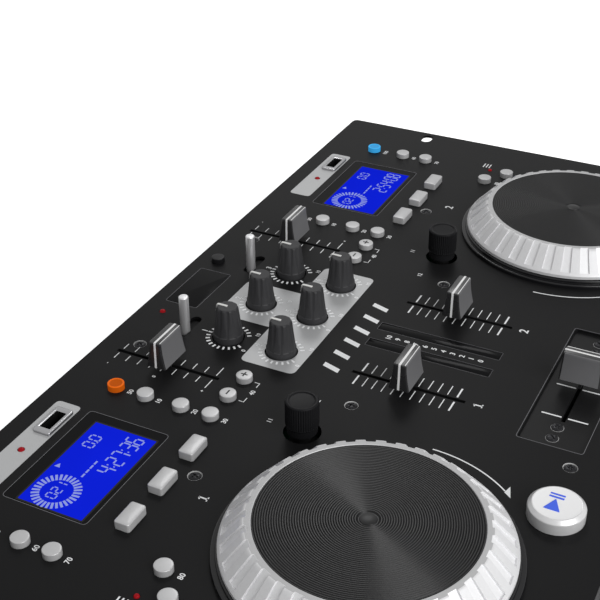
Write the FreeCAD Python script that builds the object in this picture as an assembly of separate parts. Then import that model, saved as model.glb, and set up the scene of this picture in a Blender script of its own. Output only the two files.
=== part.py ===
import FreeCAD, Part
import math
import os

# A 19-inch twin-deck DJ console: two disc decks with jog wheels and tray drawers, and a mixer
# between them. Millimetres. X runs to the user's right, Y to the back, Z up. The origin is the
# bottom centre of the whole console, on the surface that its feet stand on.

Vector = FreeCAD.Vector
UP = Vector(0, 0, 1)
SIDES = ((-1, "left"), (1, "right"))

# Top panel: a 19-inch rack panel, six rack units deep.
panel_width = 482.6
panel_depth = 265.9
panel_thick = 1.6
panel_corner = 3.5
rack_slot_span = 465.1
rack_slot_from_edge = 56.8
rack_slot_length = 10.6
rack_slot_width = 7.0

# Casing under the panel.
foot_height = 9.0
foot_top_radius = 11.0
foot_bottom_radius = 9.5
foot_inset = 24.0
foot_recess_radius = 4.5
foot_recess_depth = 5.0
casing_height = 83.4
casing_width = 438.0
sheet = 1.5
front_overhang = 4.0
rear_overhang = 3.0
flange_height = 14.0
socket_reach = 5.0

# Clearances.
slide_gap = 0.3
hole_gap = 0.2
running_gap = 0.05
window_gap = 0.15

# Boards and what stands on them.
board_drop = 14.0
board_thick = 1.6
deck_board = (57.0, 212.0, 5.5, 140.0)
key_board = (57.0, 212.0, 228.0, 252.0)
mixer_board = (-56.0, 56.0, 5.5, 245.0)
post_radius = 2.4
screw_shank_radius = 1.4
screw_head_radius = 2.8
screw_head_height = 1.0
screw_dish_radius = 3.3
screw_dish_depth = 0.6
screw_length = 8.0
cross_width = 0.8

# Panel screws, as (x, distance from the back edge), on each side.
panel_screws = ((59.6, 18.5), (60.0, 134.0), (134.6, 94.6), (59.5, 236.7))

# Mixer.
column_x = 34.8
knob_rows = (("back", 55.0), ("front", 84.75))
knob_top = 18.2
knob_skirt_radius = 7.55
knob_body_radius = 7.2
knob_top_radius = 5.45
knob_skirt_height = 3.4
knob_sink = 0.8
knob_hole_gap = 0.7
knob_flutes = 10
knob_flute_radius = 1.6
knob_flute_depth = 0.7
pointer_width = 1.3
pointer_proud = 0.45
pointer_rise = 0.2
pointer_drop = 4.0
shaft_radius = 3.0
bush_radius = 4.4
bush_rise = 4.0
pot_size = 14.0
pot_drop = 5.0

fader_from_back = 151.6
fader_rest_offset = 0.9
fader_slot = 57.2
fader_slot_width = 2.0
track_width = 12.0
track_end = 5.0
cap_length = 19.2
cap_base_half = 5.2
cap_waist_half = 3.5
cap_top_half = 3.2
cap_bottom = 3.6
cap_top = 17.8
stem_along = 4.4
stem_across = 1.5
stem_depth = 6.0

crossfader_from_back = 224.4
crossfader_slot = 55.0
crossfader_rest = 1.8
crossfader_window = (97.0, 30.0)
crossfader_plate_margin = 4.0
crossfader_plate_thick = 1.2
crossfader_screw_x = (32.8, 41.1)
crossfader_screw_from_back = 223.4
crossfader_track_half = 37.0

selector_from_back = 32.2
selector_slot = 19.0
selector_slot_width = 5.6
selector_radius = 2.5
selector_top = 19.9
selector_rest = 3.8
selector_body = (24.0, 9.6)
selector_depth = 4.0
selector_strip = (26.0, 7.0)
selector_strip_thick = 0.8
selector_strip_back = 14.0

meter_x = 7.85
meter_width = 6.5
meter_length = 64.0
meter_from_back = 151.2
meter_lens_thick = 1.2
meter_lens_margin = 1.2

centre_window = (37.0, 18.4)
centre_window_from_back = 17.2
lens_thick = 0.8
link_key = (29.0, 12.6)
link_lamp_x = -28.7
link_lamp_from_back = 12.4
lamp_radius = 1.5
lamp_rise = 0.9
lamp_depth = 4.0

# Decks. Places are (x, distance from the panel's back edge), mirrored to both sides.
pitch_x = 68.6
pitch_from_back = 40.0
pitch_slot = 57.4
mode_key_x = 95.8
mode_keys = ((mode_key_x, 44.9), (mode_key_x, 64.1), (mode_key_x, 79.8))
bend_keys = ((79.4, 79.8), (63.5, 79.8))
pitch_key = (mode_key_x, 28.6)
eject_key = (200.5, 32.5)
side_keys = ((200.0, 52.8), (200.0, 68.4), (188.2, 112.5), (201.2, 122.4))
loop_keys = ((120.3, 85.3), (145.2, 85.3), (170.0, 85.3))
play_key = (91.4, 239.6)
cue_key = (197.6, 239.6)
round_key_radius = 4.0
round_key_rise = 3.0
link_key_radius = 3.6
loop_key_size = (13.6, 7.4)
loop_key_corner = 1.4
loop_key_rise = 4.0
play_radius = 12.05
play_face_radius = 10.05
play_rim = 5.0
play_rise = 6.6
play_dish = 0.5
key_travel = 0.8
flange_extra = 0.8
flange_thick = 1.2
comb_bar = 3.0
key_stem_radius = 1.5
switch_size = 6.0
switch_height = 4.4

encoder = (87.4, 122.3)
encoder_top = 17.6
encoder_barrel_low = 4.9
encoder_barrel_radius = 7.7
encoder_neck_radius = 7.1
encoder_hole_gap = 1.6
encoder_push = 0.6
encoder_lift = 1.0

display_window = (64.6, 42.0)
display_x = 148.3
display_from_back = 49.3
lcd_size = (57.0, 32.0)
lcd_offset_x = -2.3
lcd_from_back = 51.4
lcd_rim = 1.2

# The two USB plates are alike, not mirrored, so their ports sit to the right on both decks.
usb_port_x = (-130.5, 169.4)
usb_port_from_back = 17.9
usb_rim = (19.4, 9.2)
usb_rim_rise = 1.5
usb_mouth = (12.6, 5.3)
usb_shell_wall = 1.0
usb_mouth_depth = 5.0
usb_tongue = (11.0, 1.8)
usb_lamp_x = (-152.8, 146.7)
usb_lamp_from_back = 16.9
side_lamp = (204.5, 110.6)
side_lamp_radius = 1.2

# Jog wheels.
jog_x = 144.5
jog_from_back = 179.2
jog_groove_pitch = 1.0
jog_groove_depth = 0.3
jog_cap_radius = 4.2
jog_rise = 17.3
jog_disc_thick = 3.0
jog_skirt_radius = 59.0
jog_slope_run = 9.8
jog_lip_width = 3.9
jog_skirt_low = 4.3
jog_skirt_edge = 6.0
jog_ribs = 36
jog_rib_depth = 0.95
jog_rib_notch = 1.4
jog_rib_rim = 1.2
jog_step_margin = 1.0
jog_base_margin = 2.0
jog_screw_margin = 7.8
jog_base_low = 2.2
jog_base_high = 4.0
jog_hub_radius = 9.0
jog_bush_wall = 4.0
jog_bush_rise = 9.0
jog_bush_depth = 8.0
jog_collar_height = 1.6

# Disc drives and tray drawers.
tray_width = 134.0
tray_length = 146.0
tray_thick = 6.0
tray_height = 27.0
tray_disc_radius = 60.5
tray_disc_depth = 2.5
tray_small_radius = 40.5
tray_small_depth = 1.2
tray_slot_width = 34.0
tray_disc_margin = 3.5
tray_side_gap = 6.0
drawer_front_side = 3.0
drawer_front_height = 20.0
drawer_front_thick = 4.0
drawer_front_proud = 2.0
drawer_gap = 0.5
rail_wall = 3.0
rail_lip = 4.0
rail_lip_thick = 2.0
drive_length = 186.0
drive_floor_thick = 2.0
drive_post_radius = 4.0
drive_post_inset = 10.0
spindle_radius = 12.0
spindle_cone_radius = 7.3
spindle_shaft_radius = 1.5
motor_radius = 13.0
motor_height = 9.0
pickup_size = (24.0, 22.0, 6.0)
pickup_rod_radius = 1.5

# Power supply and rear sockets.
supply_board = (-55.0, 55.0, 60.0, 190.0)
supply_rise = 6.0
transformer_size = (46.0, 40.0, 30.0)
capacitor_radius = 8.0
capacitor_height = 24.0
rear_board = (-118.0, 118.0)
rear_board_gap = 12.0
rear_board_heights = (5.0, 60.0)
rca_x = (-105.0, -77.0, -49.0, 49.0, 77.0, 105.0)
rca_heights = (20.0, 42.0)
rca_radius = 4.15
rca_hole_radius = 1.7
rca_body = (10.0, 10.0)
rca_length = 8.0
jack_x = (-26.0, 26.0)
jack_height = 42.0
jack_bore_radius = 3.2
jack_bush_radius = 5.5
jack_bush_proud = 2.0
jack_depth = 26.0
jack_body = (16.0, 14.0)
inlet_x = -185.0
inlet_height = 32.0
inlet_flange = (26.0, 18.0)
inlet_cavity = (14.0, 8.0)
inlet_depth = 13.0
inlet_pin_radius = 1.2
inlet_pin_length = 7.0
inlet_pin_half_pitch = 3.6
rocker_x = -150.0
rocker_radius = 8.0
rocker_width = 12.0
rocker_sink = 4.0
rocker_tilt = 10.0
rocker_frame_wall = 2.0
wall_screw_rows = (-90.0, 0.0, 90.0)
wall_screw_height = 8.0

# Levels and places worked out from the sizes above.
panel_top = foot_height + casing_height + panel_thick
panel_under = panel_top - panel_thick
board_top = panel_top - board_drop
board_under = board_top - board_thick
base_low = foot_height
base_top = base_low + sheet
total_depth = panel_depth + socket_reach
back_edge = total_depth / 2 - socket_reach
front_edge = back_edge - panel_depth
rear_wall_out = back_edge - rear_overhang
rear_wall_in = rear_wall_out - sheet
front_wall_out = front_edge + front_overhang
front_wall_in = front_wall_out + sheet
side_out = casing_width / 2
side_in = side_out - sheet
switch_top = board_top + switch_height
flange_top = panel_under - slide_gap
flange_low = flange_top - flange_thick
stem_low = switch_top + key_travel + slide_gap
tray_low = foot_height + tray_height
tray_top = tray_low + tray_thick
drawer_low = tray_low + tray_thick / 2 - drawer_front_height / 2
tray_front = front_wall_out - drawer_front_proud + drawer_front_thick
drawer_half = tray_width / 2 + drawer_front_side
spindle_y = tray_front + tray_disc_margin + tray_disc_radius
tray_x = side_in - tray_side_gap - tray_width / 2
jog_lip_radius = jog_skirt_radius - jog_slope_run
jog_disc_radius = jog_lip_radius - jog_lip_width
jog_step_radius = jog_skirt_radius + jog_step_margin
jog_base_radius = jog_step_radius + jog_base_margin


def row(from_back):
    """Y of a line on the panel at this distance from the panel's back edge."""
    return back_edge - from_back


def box(x0, x1, y0, y1, z0, z1):
    return Part.makeBox(x1 - x0, y1 - y0, z1 - z0, Vector(x0, y0, z0))


def block(x, y, size_x, size_y, z0, z1):
    """Box centred on x, y."""
    return box(x - size_x / 2, x + size_x / 2, y - size_y / 2, y + size_y / 2, z0, z1)


def rod(x, y, radius, z0, z1):
    return Part.makeCylinder(radius, z1 - z0, Vector(x, y, z0))


def rod_y(x, z, radius, y0, y1):
    return Part.makeCylinder(radius, y1 - y0, Vector(x, y0, z), Vector(0, 1, 0))


def rod_x(y, z, radius, x0, x1):
    return Part.makeCylinder(radius, x1 - x0, Vector(x0, y, z), Vector(1, 0, 0))


def tile(x, y, size_x, size_y, z0, z1, corner):
    """Box centred on x, y with rounded upright edges."""
    solid = block(x, y, size_x, size_y, z0, z1)
    upright = [e for e in solid.Edges if abs(e.tangentAt(e.FirstParameter).z) > 0.99]
    return solid.makeFillet(corner, upright)


def oblong_x(x, y, length, width, z0, z1):
    """Slot-shaped solid that runs along X, with round ends."""
    half = (length - width) / 2
    middle = block(x, y, length - width, width, z0, z1)
    ends = [rod(x + s * half, y, width / 2, z0, z1) for s in (-1, 1)]
    return middle.multiFuse(ends).removeSplitter()


def turned(x, y, profile):
    """Solid of revolution about the upright line through x, y, from (radius, z) points."""
    points = [Vector(x + r, y, z) for r, z in profile]
    face = Part.Face(Part.makePolygon(points + points[:1]))
    return face.revolve(Vector(x, y, 0), UP, 360)


def extruded_x(x0, x1, outline):
    """Prism along X from (y, z) points."""
    points = [Vector(x0, y, z) for y, z in outline]
    face = Part.Face(Part.makePolygon(points + points[:1]))
    return face.extrude(Vector(x1 - x0, 0, 0))


def save(name, solids):
    shape = solids[0] if len(solids) == 1 else Part.makeCompound(solids)
    shape.exportStep(os.path.join("parts", name + ".step"))


def screw(x, y, top, length):
    """Cross-head screw with its head's top at z = top."""
    head = rod(x, y, screw_head_radius, top - screw_head_height, top)
    head = head.makeFillet(screw_head_height / 3, [e for e in head.Edges if e.BoundBox.ZMin > top - 0.01])
    shank = rod(x, y, screw_shank_radius, top - screw_head_height - length, top - screw_head_height)
    arms = [block(x, y, a, b, top - screw_head_height / 2, top + 1)
            for a, b in ((screw_head_radius, cross_width), (cross_width, screw_head_radius))]
    return head.fuse(shank).cut(arms[0].fuse(arms[1]))


# ---------------------------------------------------------------- casing

def screw_places():
    """Places of the panel screws on both sides, the last pair in front of the jog wheels."""
    places = panel_screws + ((jog_x, jog_from_back + jog_base_radius + jog_screw_margin),)
    return [(side * x, row(d)) for x, d in places for side, _ in SIDES]


def crossfader_screw_places():
    y = row(crossfader_screw_from_back)
    return [(side * x, y) for x in crossfader_screw_x for side, _ in SIDES]


def round_key_holes():
    """Panel holes of the round keys, as (x, y, key radius)."""
    holes = [(link_key[0], row(link_key[1]), link_key_radius)]
    small = mode_keys + bend_keys + side_keys + (pitch_key, eject_key)
    for side, _ in SIDES:
        holes += [(side * x, row(d), round_key_radius) for x, d in small]
        holes += [(side * x, row(d), play_radius) for x, d in (play_key, cue_key)]
    return holes


def knob_places():
    places = []
    for row_name, from_back in knob_rows:
        for x, column in ((-column_x, "left"), (0, "centre"), (column_x, "right")):
            places.append(("knob_%s_%s" % (row_name, column), x, row(from_back)))
    return places


def lamp_places():
    """Places of the indicator lamps, as (x, y, radius)."""
    places = [(link_lamp_x, row(link_lamp_from_back), lamp_radius)]
    places += [(x, row(usb_lamp_from_back), lamp_radius) for x in usb_lamp_x]
    places += [(side * side_lamp[0], row(side_lamp[1]), side_lamp_radius) for side, _ in SIDES]
    return places


def panel():
    low = panel_under - 1
    high = panel_top + 1
    middle = (back_edge + front_edge) / 2
    plate = tile(0, middle, panel_width, panel_depth, panel_under, panel_top, panel_corner)
    cuts = []
    for side, _ in SIDES:
        for y in (back_edge - rack_slot_from_edge, front_edge + rack_slot_from_edge):
            cuts.append(oblong_x(side * rack_slot_span / 2, y, rack_slot_length, rack_slot_width, low, high))
        cuts.append(rod(side * jog_x, row(jog_from_back), jog_spigot_radius() + hole_gap, low, high))
        cuts.append(rod(side * encoder[0], row(encoder[1]), encoder_neck_radius + encoder_hole_gap,
                        low, high))
        cuts.append(block(side * pitch_x, row(pitch_from_back), fader_slot_width, pitch_slot, low, high))
        cuts.append(block(side * column_x, row(fader_from_back), fader_slot_width, fader_slot, low, high))
        cuts.append(block(side * meter_x, row(meter_from_back), meter_width, meter_length, low, high))
        cuts.append(oblong_x(side * column_x, row(selector_from_back), selector_slot,
                             selector_slot_width, low, high))
        cuts.append(tile(side * display_x, row(display_from_back), display_window[0], display_window[1],
                         panel_top - lens_thick, high, 1.0))
        cuts.append(block(side * display_x + lcd_offset_x, row(lcd_from_back), lcd_size[0] + 2 * lcd_rim,
                          lcd_size[1] + 2 * lcd_rim, low, high))
        for x, d in loop_keys:
            cuts.append(tile(side * x, row(d), loop_key_size[0] + 2 * hole_gap,
                             loop_key_size[1] + 2 * hole_gap, low, high, loop_key_corner))
    cuts.append(tile(0, row(centre_window_from_back), centre_window[0], centre_window[1],
                     panel_top - lens_thick, high, 1.0))
    cuts.append(tile(0, row(crossfader_from_back), crossfader_window[0], crossfader_window[1],
                     low, high, 1.5))
    cuts += [rod(x, y, radius + hole_gap, low, high) for x, y, radius in round_key_holes()]
    cuts += [rod(x, y, knob_skirt_radius + knob_hole_gap, low, high) for _, x, y in knob_places()]
    cuts += [rod(x, y, radius + hole_gap, low, high) for x, y, radius in lamp_places()]
    cuts += [block(x, row(usb_port_from_back), usb_shell_size()[0] + 2 * hole_gap,
                   usb_shell_size()[1] + 2 * hole_gap, low, high) for x in usb_port_x]
    for x, y in screw_places():
        cuts.append(rod(x, y, screw_shank_radius + hole_gap, low, high))
        cuts.append(rod(x, y, screw_dish_radius, panel_top - screw_dish_depth, high))
    return plate.cut(cuts)


def base_pan():
    """Bottom plate, and two strips welded upright on it that the side walls are screwed to."""
    plate = box(-side_out, side_out, front_wall_out, rear_wall_out, base_low, base_top)
    holes = [rod(x, y, screw_shank_radius + hole_gap, base_low - 1, base_top + 1)
             for x, y in foot_places()]
    solids = [plate.cut(holes)]
    for side, _ in SIDES:
        inner = side * (side_in - sheet)
        outer = side * side_in
        strip = box(min(inner, outer), max(inner, outer), front_wall_in, rear_wall_in,
                    base_top, base_top + flange_height)
        solids.append(strip.cut(wall_screw_holes()))
    return solids


def foot_places():
    middle = (front_wall_out + rear_wall_out) / 2
    reach = (rear_wall_out - front_wall_out) / 2 - foot_inset
    return [(side * (side_out - foot_inset), middle + end * reach) for side, _ in SIDES for end in (-1, 1)]


def wall_screw_holes():
    z = base_top + wall_screw_height
    return [rod_x(y, z, screw_shank_radius + hole_gap, -side_out - 1, side_out + 1) for y in wall_screw_rows]


def side_walls():
    walls = []
    for side, _ in SIDES:
        inner = side * side_in
        outer = side * side_out
        wall = box(min(inner, outer), max(inner, outer), front_wall_in, rear_wall_in, base_top, panel_under)
        walls.append(wall.cut(wall_screw_holes()))
    return walls


def front_wall():
    wall = box(-side_out, side_out, front_wall_out, front_wall_in, base_top, panel_under)
    cuts = []
    for side, _ in SIDES:
        x = side * tray_x
        half = drawer_half + drawer_gap
        cuts.append(box(x - half, x + half, front_wall_out - 1, front_wall_in + 1,
                        drawer_low - drawer_gap, drawer_low + drawer_front_height + drawer_gap))
    for x in jack_x:
        cuts.append(rod_y(x, jack_height, jack_bush_radius + hole_gap, front_wall_out - 1, front_wall_in + 1))
    return wall.cut(cuts)


def rear_wall():
    wall = box(-side_out, side_out, rear_wall_in, rear_wall_out, base_top, panel_under)
    low = rear_wall_in - 1
    high = rear_wall_out + 1
    cuts = []
    for x in rca_x:
        for height in rca_heights:
            cuts.append(rod_y(x, base_top + height, rca_radius + hole_gap, low, high))
    width, tall = inlet_shell_size()
    cuts.append(box(inlet_x - width / 2 - hole_gap, inlet_x + width / 2 + hole_gap, low, high,
                    inlet_height - tall / 2 - hole_gap, inlet_height + tall / 2 + hole_gap))
    width, tall = rocker_frame_size()
    cuts.append(box(rocker_x - width / 2 - hole_gap, rocker_x + width / 2 + hole_gap, low, high,
                    inlet_height - tall / 2 - hole_gap, inlet_height + tall / 2 + hole_gap))
    return wall.cut(cuts)


def feet():
    solids = []
    for x, y in foot_places():
        foot = Part.makeCone(foot_bottom_radius, foot_top_radius, foot_height, Vector(x, y, 0))
        recess = rod(x, y, foot_recess_radius, -1, foot_recess_depth)
        bore = rod(x, y, screw_shank_radius + hole_gap, 0, foot_height + 1)
        solids.append(foot.cut([recess, bore]))
    return solids


def side_screw(side, y):
    """Round-head screw through a side wall and the base pan's flange."""
    z = base_top + wall_screw_height
    length = 2 * sheet + 1
    shank = Part.makeCylinder(screw_shank_radius, length, Vector(side * side_out, y, z), Vector(-side, 0, 0))
    head = Part.makeCylinder(screw_head_radius, screw_head_height, Vector(side * side_out, y, z),
                             Vector(side, 0, 0))
    return head.fuse(shank)


def foot_screw(x, y):
    head = rod(x, y, screw_head_radius, foot_recess_depth - screw_head_height, foot_recess_depth)
    return head.fuse(rod(x, y, screw_shank_radius, foot_recess_depth, base_top + 2))


def screws():
    dish = panel_top - screw_dish_depth
    solids = [screw(x, y, dish + screw_head_height, screw_length) for x, y in screw_places()]
    plate_top = panel_under
    solids += [screw(x, y, plate_top + screw_head_height, screw_length)
               for x, y in crossfader_screw_places()]
    solids += [side_screw(side, y) for side, _ in SIDES for y in wall_screw_rows]
    solids += [foot_screw(x, y) for x, y in foot_places()]
    return solids


# ---------------------------------------------------------------- panel fittings

def crossfader_plate():
    low = panel_under - crossfader_plate_thick
    width = crossfader_window[0] + 2 * crossfader_plate_margin
    depth = crossfader_window[1] + 2 * crossfader_plate_margin
    y = row(crossfader_from_back)
    plate = tile(0, y, width, depth, low, panel_under, 2.0)
    cuts = [block(0, y, crossfader_slot, fader_slot_width, low - 1, panel_under + 1)]
    cuts += [rod(px, py, screw_shank_radius + hole_gap, low - 1, panel_under + 1)
             for px, py in crossfader_screw_places()]
    return plate.cut(cuts)


def meter_lens(x, y):
    """Strip lens: a plate under the panel and a bar that fills the slot nearly up to the panel's top."""
    plate = block(x, y, meter_width + 2 * meter_lens_margin, meter_length + 2 * meter_lens_margin,
                  panel_under - meter_lens_thick, panel_under)
    bar = block(x, y, meter_width - 2 * window_gap, meter_length - 2 * window_gap,
                panel_under, panel_top - window_gap)
    return plate.fuse(bar)


def window_lenses():
    low = panel_top - lens_thick
    solids = []
    for side, _ in SIDES:
        solids.append(tile(side * display_x, row(display_from_back), display_window[0] - 2 * window_gap,
                           display_window[1] - 2 * window_gap, low, panel_top, 0.9))
        solids.append(meter_lens(side * meter_x, row(meter_from_back)))
    solids.append(tile(0, row(centre_window_from_back), centre_window[0] - 2 * window_gap,
                       centre_window[1] - 2 * window_gap, low, panel_top, 0.9))
    return solids


def lcd_panels():
    return [block(side * display_x + lcd_offset_x, row(lcd_from_back), lcd_size[0], lcd_size[1],
                  board_top, panel_top - lens_thick) for side, _ in SIDES]


def usb_shell_size():
    return (usb_mouth[0] + 2 * usb_shell_wall, usb_mouth[1] + 2 * usb_shell_wall)


def usb_port(x):
    """Chrome rim on the panel, a shell down to the board and the contact tongue inside."""
    y = row(usb_port_from_back)
    width, depth = usb_shell_size()
    rim = tile(x, y, usb_rim[0], usb_rim[1], panel_top, panel_top + usb_rim_rise, 1.2)
    shell = block(x, y, width, depth, board_top, panel_top)
    mouth = block(x, y, usb_mouth[0], usb_mouth[1], board_top + usb_shell_wall, panel_top + usb_rim_rise + 1)
    body = rim.fuse(shell).cut(mouth)
    tongue_top = panel_top + usb_rim_rise - usb_mouth_depth
    tongue_y = y + usb_mouth[1] / 2 - usb_tongue[1]
    tongue = block(x, tongue_y, usb_tongue[0], usb_tongue[1], board_top + usb_shell_wall, tongue_top)
    return body.fuse(tongue).removeSplitter()


def lamp(x, y, radius):
    """Lamp lens: a short rod under a low dome."""
    base = panel_top - lamp_depth
    stem = rod(x, y, radius, base, panel_top)
    dome_radius = (radius ** 2 + lamp_rise ** 2) / (2 * lamp_rise)
    centre = panel_top + lamp_rise - dome_radius
    ball = Part.makeSphere(dome_radius, Vector(x, y, centre))
    cap = ball.common(rod(x, y, radius, panel_top, panel_top + lamp_rise + 1))
    return stem.fuse(cap)


# ---------------------------------------------------------------- mixer controls

def knob(x, y):
    """Fluted knob with its shaft, its pointer, and a hollow underside that clears the bush."""
    low = panel_top - knob_sink
    body = turned(x, y, [(0, low), (knob_skirt_radius, low),
                         (knob_skirt_radius, panel_top + knob_skirt_height - 0.3),
                         (knob_body_radius, panel_top + knob_skirt_height),
                         (knob_top_radius, panel_top + knob_top - 0.8),
                         (knob_top_radius - 0.7, panel_top + knob_top), (0, panel_top + knob_top)])
    foot = knob_body_radius + knob_flute_radius - 0.05
    head = knob_top_radius + knob_flute_radius - knob_flute_depth
    lean = (foot - head) / (knob_top - knob_skirt_height)
    flutes = []
    for i in range(knob_flutes):
        turn = 2 * math.pi * (i + 0.75) / knob_flutes
        start = Vector(x + foot * math.cos(turn), y + foot * math.sin(turn), panel_top + knob_skirt_height)
        along = Vector(-lean * math.cos(turn), -lean * math.sin(turn), 1)
        flutes.append(Part.makeCylinder(knob_flute_radius, knob_top, start, along))
    hollow = rod(x, y, bush_radius + hole_gap * 2, low - 1, panel_top + bush_rise + 2 * slide_gap)
    shaft = rod(x, y, shaft_radius, panel_under - 6, panel_top + bush_rise + 2 * slide_gap)
    return body.cut(flutes + [hollow]).multiFuse([shaft, pointer(x, y)])


def pointer(x, y):
    """Raised line from the middle of a knob's top to its back and a short way down."""
    top = panel_top + knob_top
    back = y + knob_top_radius + pointer_proud
    outline = [(y, top - 1), (y, top + pointer_rise), (back - pointer_proud, top + pointer_rise),
               (back, top - pointer_rise), (back + pointer_proud, top - pointer_drop),
               (y + knob_top_radius - 1, top - pointer_drop)]
    return extruded_x(x - pointer_width / 2, x + pointer_width / 2, outline)


def fader_cap(x, y, along_x):
    """Fader cap with flared foot on a flat stem. It travels along Y, or along X if along_x."""
    low = panel_top + cap_bottom
    high = panel_top + cap_top
    middle = (low + high) / 2
    corners = [Vector(-cap_length / 2, -cap_base_half, low), Vector(-cap_length / 2, cap_base_half, low),
               Vector(-cap_length / 2, cap_top_half, high), Vector(-cap_length / 2, -cap_top_half, high)]
    waist = [Vector(-cap_length / 2, s * cap_waist_half, middle) for s in (1, -1)]
    edges = [Part.LineSegment(corners[0], corners[1]).toShape(),
             Part.Arc(corners[1], waist[0], corners[2]).toShape(),
             Part.LineSegment(corners[2], corners[3]).toShape(),
             Part.Arc(corners[3], waist[1], corners[0]).toShape()]
    body = Part.Face(Part.Wire(edges)).extrude(Vector(cap_length, 0, 0))
    stem = block(0, 0, stem_across, stem_along, panel_under - stem_depth, low + 2)
    cap = body.fuse(stem)
    if along_x:
        cap.rotate(Vector(0, 0, 0), UP, 90)
    cap.translate(Vector(x, y, 0))
    return cap


def selector_lever(x):
    """Round chrome slide lever that stands at the left end of its slot, with the strip that moves
    with it under the panel and covers the rest of the slot."""
    y = row(selector_from_back)
    lever = rod(x, y, selector_radius, panel_under - selector_depth, panel_top + selector_top)
    rim = [e for e in lever.Edges if e.BoundBox.ZMin > panel_top + selector_top - 0.01]
    high = panel_under - slide_gap
    strip = box(x - selector_strip_back, x - selector_strip_back + selector_strip[0],
                y - selector_strip[1] / 2, y + selector_strip[1] / 2, high - selector_strip_thick, high)
    return lever.makeFillet(0.8, rim).fuse(strip)


# ---------------------------------------------------------------- keys

def key_stem(x, y, radius):
    """Retaining flange under the panel and the stem down to the switch."""
    flange = rod(x, y, radius + flange_extra, flange_low, flange_top)
    return flange.fuse(rod(x, y, key_stem_radius, stem_low, flange_low))


def round_key(x, y, radius):
    cap = rod(x, y, radius, flange_top, panel_top + round_key_rise)
    rim = [e for e in cap.Edges if e.BoundBox.ZMin > panel_top + round_key_rise - 0.01]
    return cap.makeFillet(0.5, rim).fuse(key_stem(x, y, radius))


def loop_key(x, y):
    top = panel_top + loop_key_rise
    cap = tile(x, y, loop_key_size[0], loop_key_size[1], flange_top, top, loop_key_corner)
    cap = cap.makeFillet(0.6, [e for e in cap.Edges if e.BoundBox.ZMin > top - 0.01])
    flange = block(x, y, loop_key_size[0] + 2 * flange_extra, loop_key_size[1] + 2 * flange_extra,
                   flange_low, flange_top)
    return cap.fuse(flange).fuse(rod(x, y, key_stem_radius, stem_low, flange_low))


def play_button(x, y):
    """Large round key with a chamfered rim round a shallow dish."""
    face = panel_top + play_rise
    cap = turned(x, y, [(0, flange_top), (play_radius, flange_top), (play_radius, panel_top + play_rim),
                        (play_face_radius, face), (play_face_radius - 2, face - play_dish * 0.8),
                        (0, face - play_dish)])
    return cap.fuse(key_stem(x, y, play_radius))


def bar_between(a, b):
    """Flat bar that joins the flanges of two keys of one moulded comb."""
    length = math.hypot(b[0] - a[0], b[1] - a[1])
    bar = box(0, length, -comb_bar / 2, comb_bar / 2, flange_low, flange_top)
    bar.rotate(Vector(0, 0, 0), UP, math.degrees(math.atan2(b[1] - a[1], b[0] - a[0])))
    bar.translate(Vector(a[0], a[1], 0))
    return bar


def comb(side, places, make_key):
    """Neighbouring keys moulded as one piece."""
    points = [(side * x, row(d)) for x, d in places]
    solids = [make_key(x, y) for x, y in points]
    solids += [bar_between(a, b) for a, b in zip(points, points[1:])]
    return solids[0].multiFuse(solids[1:]).removeSplitter()


# ---------------------------------------------------------------- encoders

def encoder_shaft(x, y):
    return rod(x, y, shaft_radius, board_top + 6, panel_top + encoder_top - 4)


def encoder_knob(x, y):
    """Round barrel over a narrower neck that ends just above a wide panel hole."""
    low = panel_top + encoder_lift
    top = panel_top + encoder_top
    barrel = panel_top + encoder_barrel_low
    radius = encoder_barrel_radius
    body = turned(x, y, [(0, low), (encoder_neck_radius, low), (encoder_neck_radius, barrel),
                         (radius - 0.4, barrel), (radius, barrel + 0.4), (radius, top - 0.6),
                         (radius - 0.6, top), (radius - 1.6, top), (radius - 2.0, top - 0.4),
                         (0, top - 0.4)])
    hollow = rod(x, y, bush_radius + 2 * hole_gap, low - 1, panel_top + bush_rise + encoder_push + slide_gap)
    bore = rod(x, y, shaft_radius + running_gap, low - 1, panel_top + encoder_top - 4 + slide_gap)
    return body.cut([hollow, bore])


# ---------------------------------------------------------------- jog wheels

def jog_spigot_radius():
    return jog_hub_radius + jog_bush_wall


def jog_base(x, y):
    """Stepped ring on the panel, and the bush through it that the jog wheel turns in."""
    outer = jog_spigot_radius()
    bore = jog_hub_radius + running_gap
    step = turned(x, y, [(outer, panel_top), (jog_base_radius, panel_top),
                         (jog_base_radius, panel_top + jog_base_low),
                         (jog_step_radius, panel_top + jog_base_low),
                         (jog_step_radius, panel_top + jog_base_high), (outer, panel_top + jog_base_high)])
    bush = turned(x, y, [(bore, panel_top - jog_bush_depth), (outer, panel_top - jog_bush_depth),
                         (outer, panel_top + jog_bush_rise), (bore, panel_top + jog_bush_rise)])
    return [step, bush]


def jog_disc(x, y):
    """Grooved disc on a hub, held under the bush by a collar."""
    top = panel_top + jog_rise
    low = top - jog_disc_thick
    seat = low - 2
    shoulder = panel_top + jog_bush_rise + slide_gap
    collar = panel_top - jog_bush_depth - slide_gap
    profile = [(0, collar - jog_collar_height), (jog_hub_radius + 2, collar - jog_collar_height),
               (jog_hub_radius + 2, collar), (jog_hub_radius, collar), (jog_hub_radius, shoulder),
               (jog_hub_radius + 3, shoulder), (jog_hub_radius + 3, seat), (jog_disc_radius + 4, seat),
               (jog_disc_radius + 4, low), (jog_disc_radius, low), (jog_disc_radius, top)]
    grooves = int((jog_disc_radius - jog_cap_radius) / jog_groove_pitch)
    for i in range(grooves):
        outer = jog_disc_radius - i * jog_groove_pitch
        profile.append((outer - jog_groove_pitch / 2, top - jog_groove_depth))
        profile.append((outer - jog_groove_pitch, top))
    profile.append((0, top))
    return turned(x, y, profile)


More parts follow.
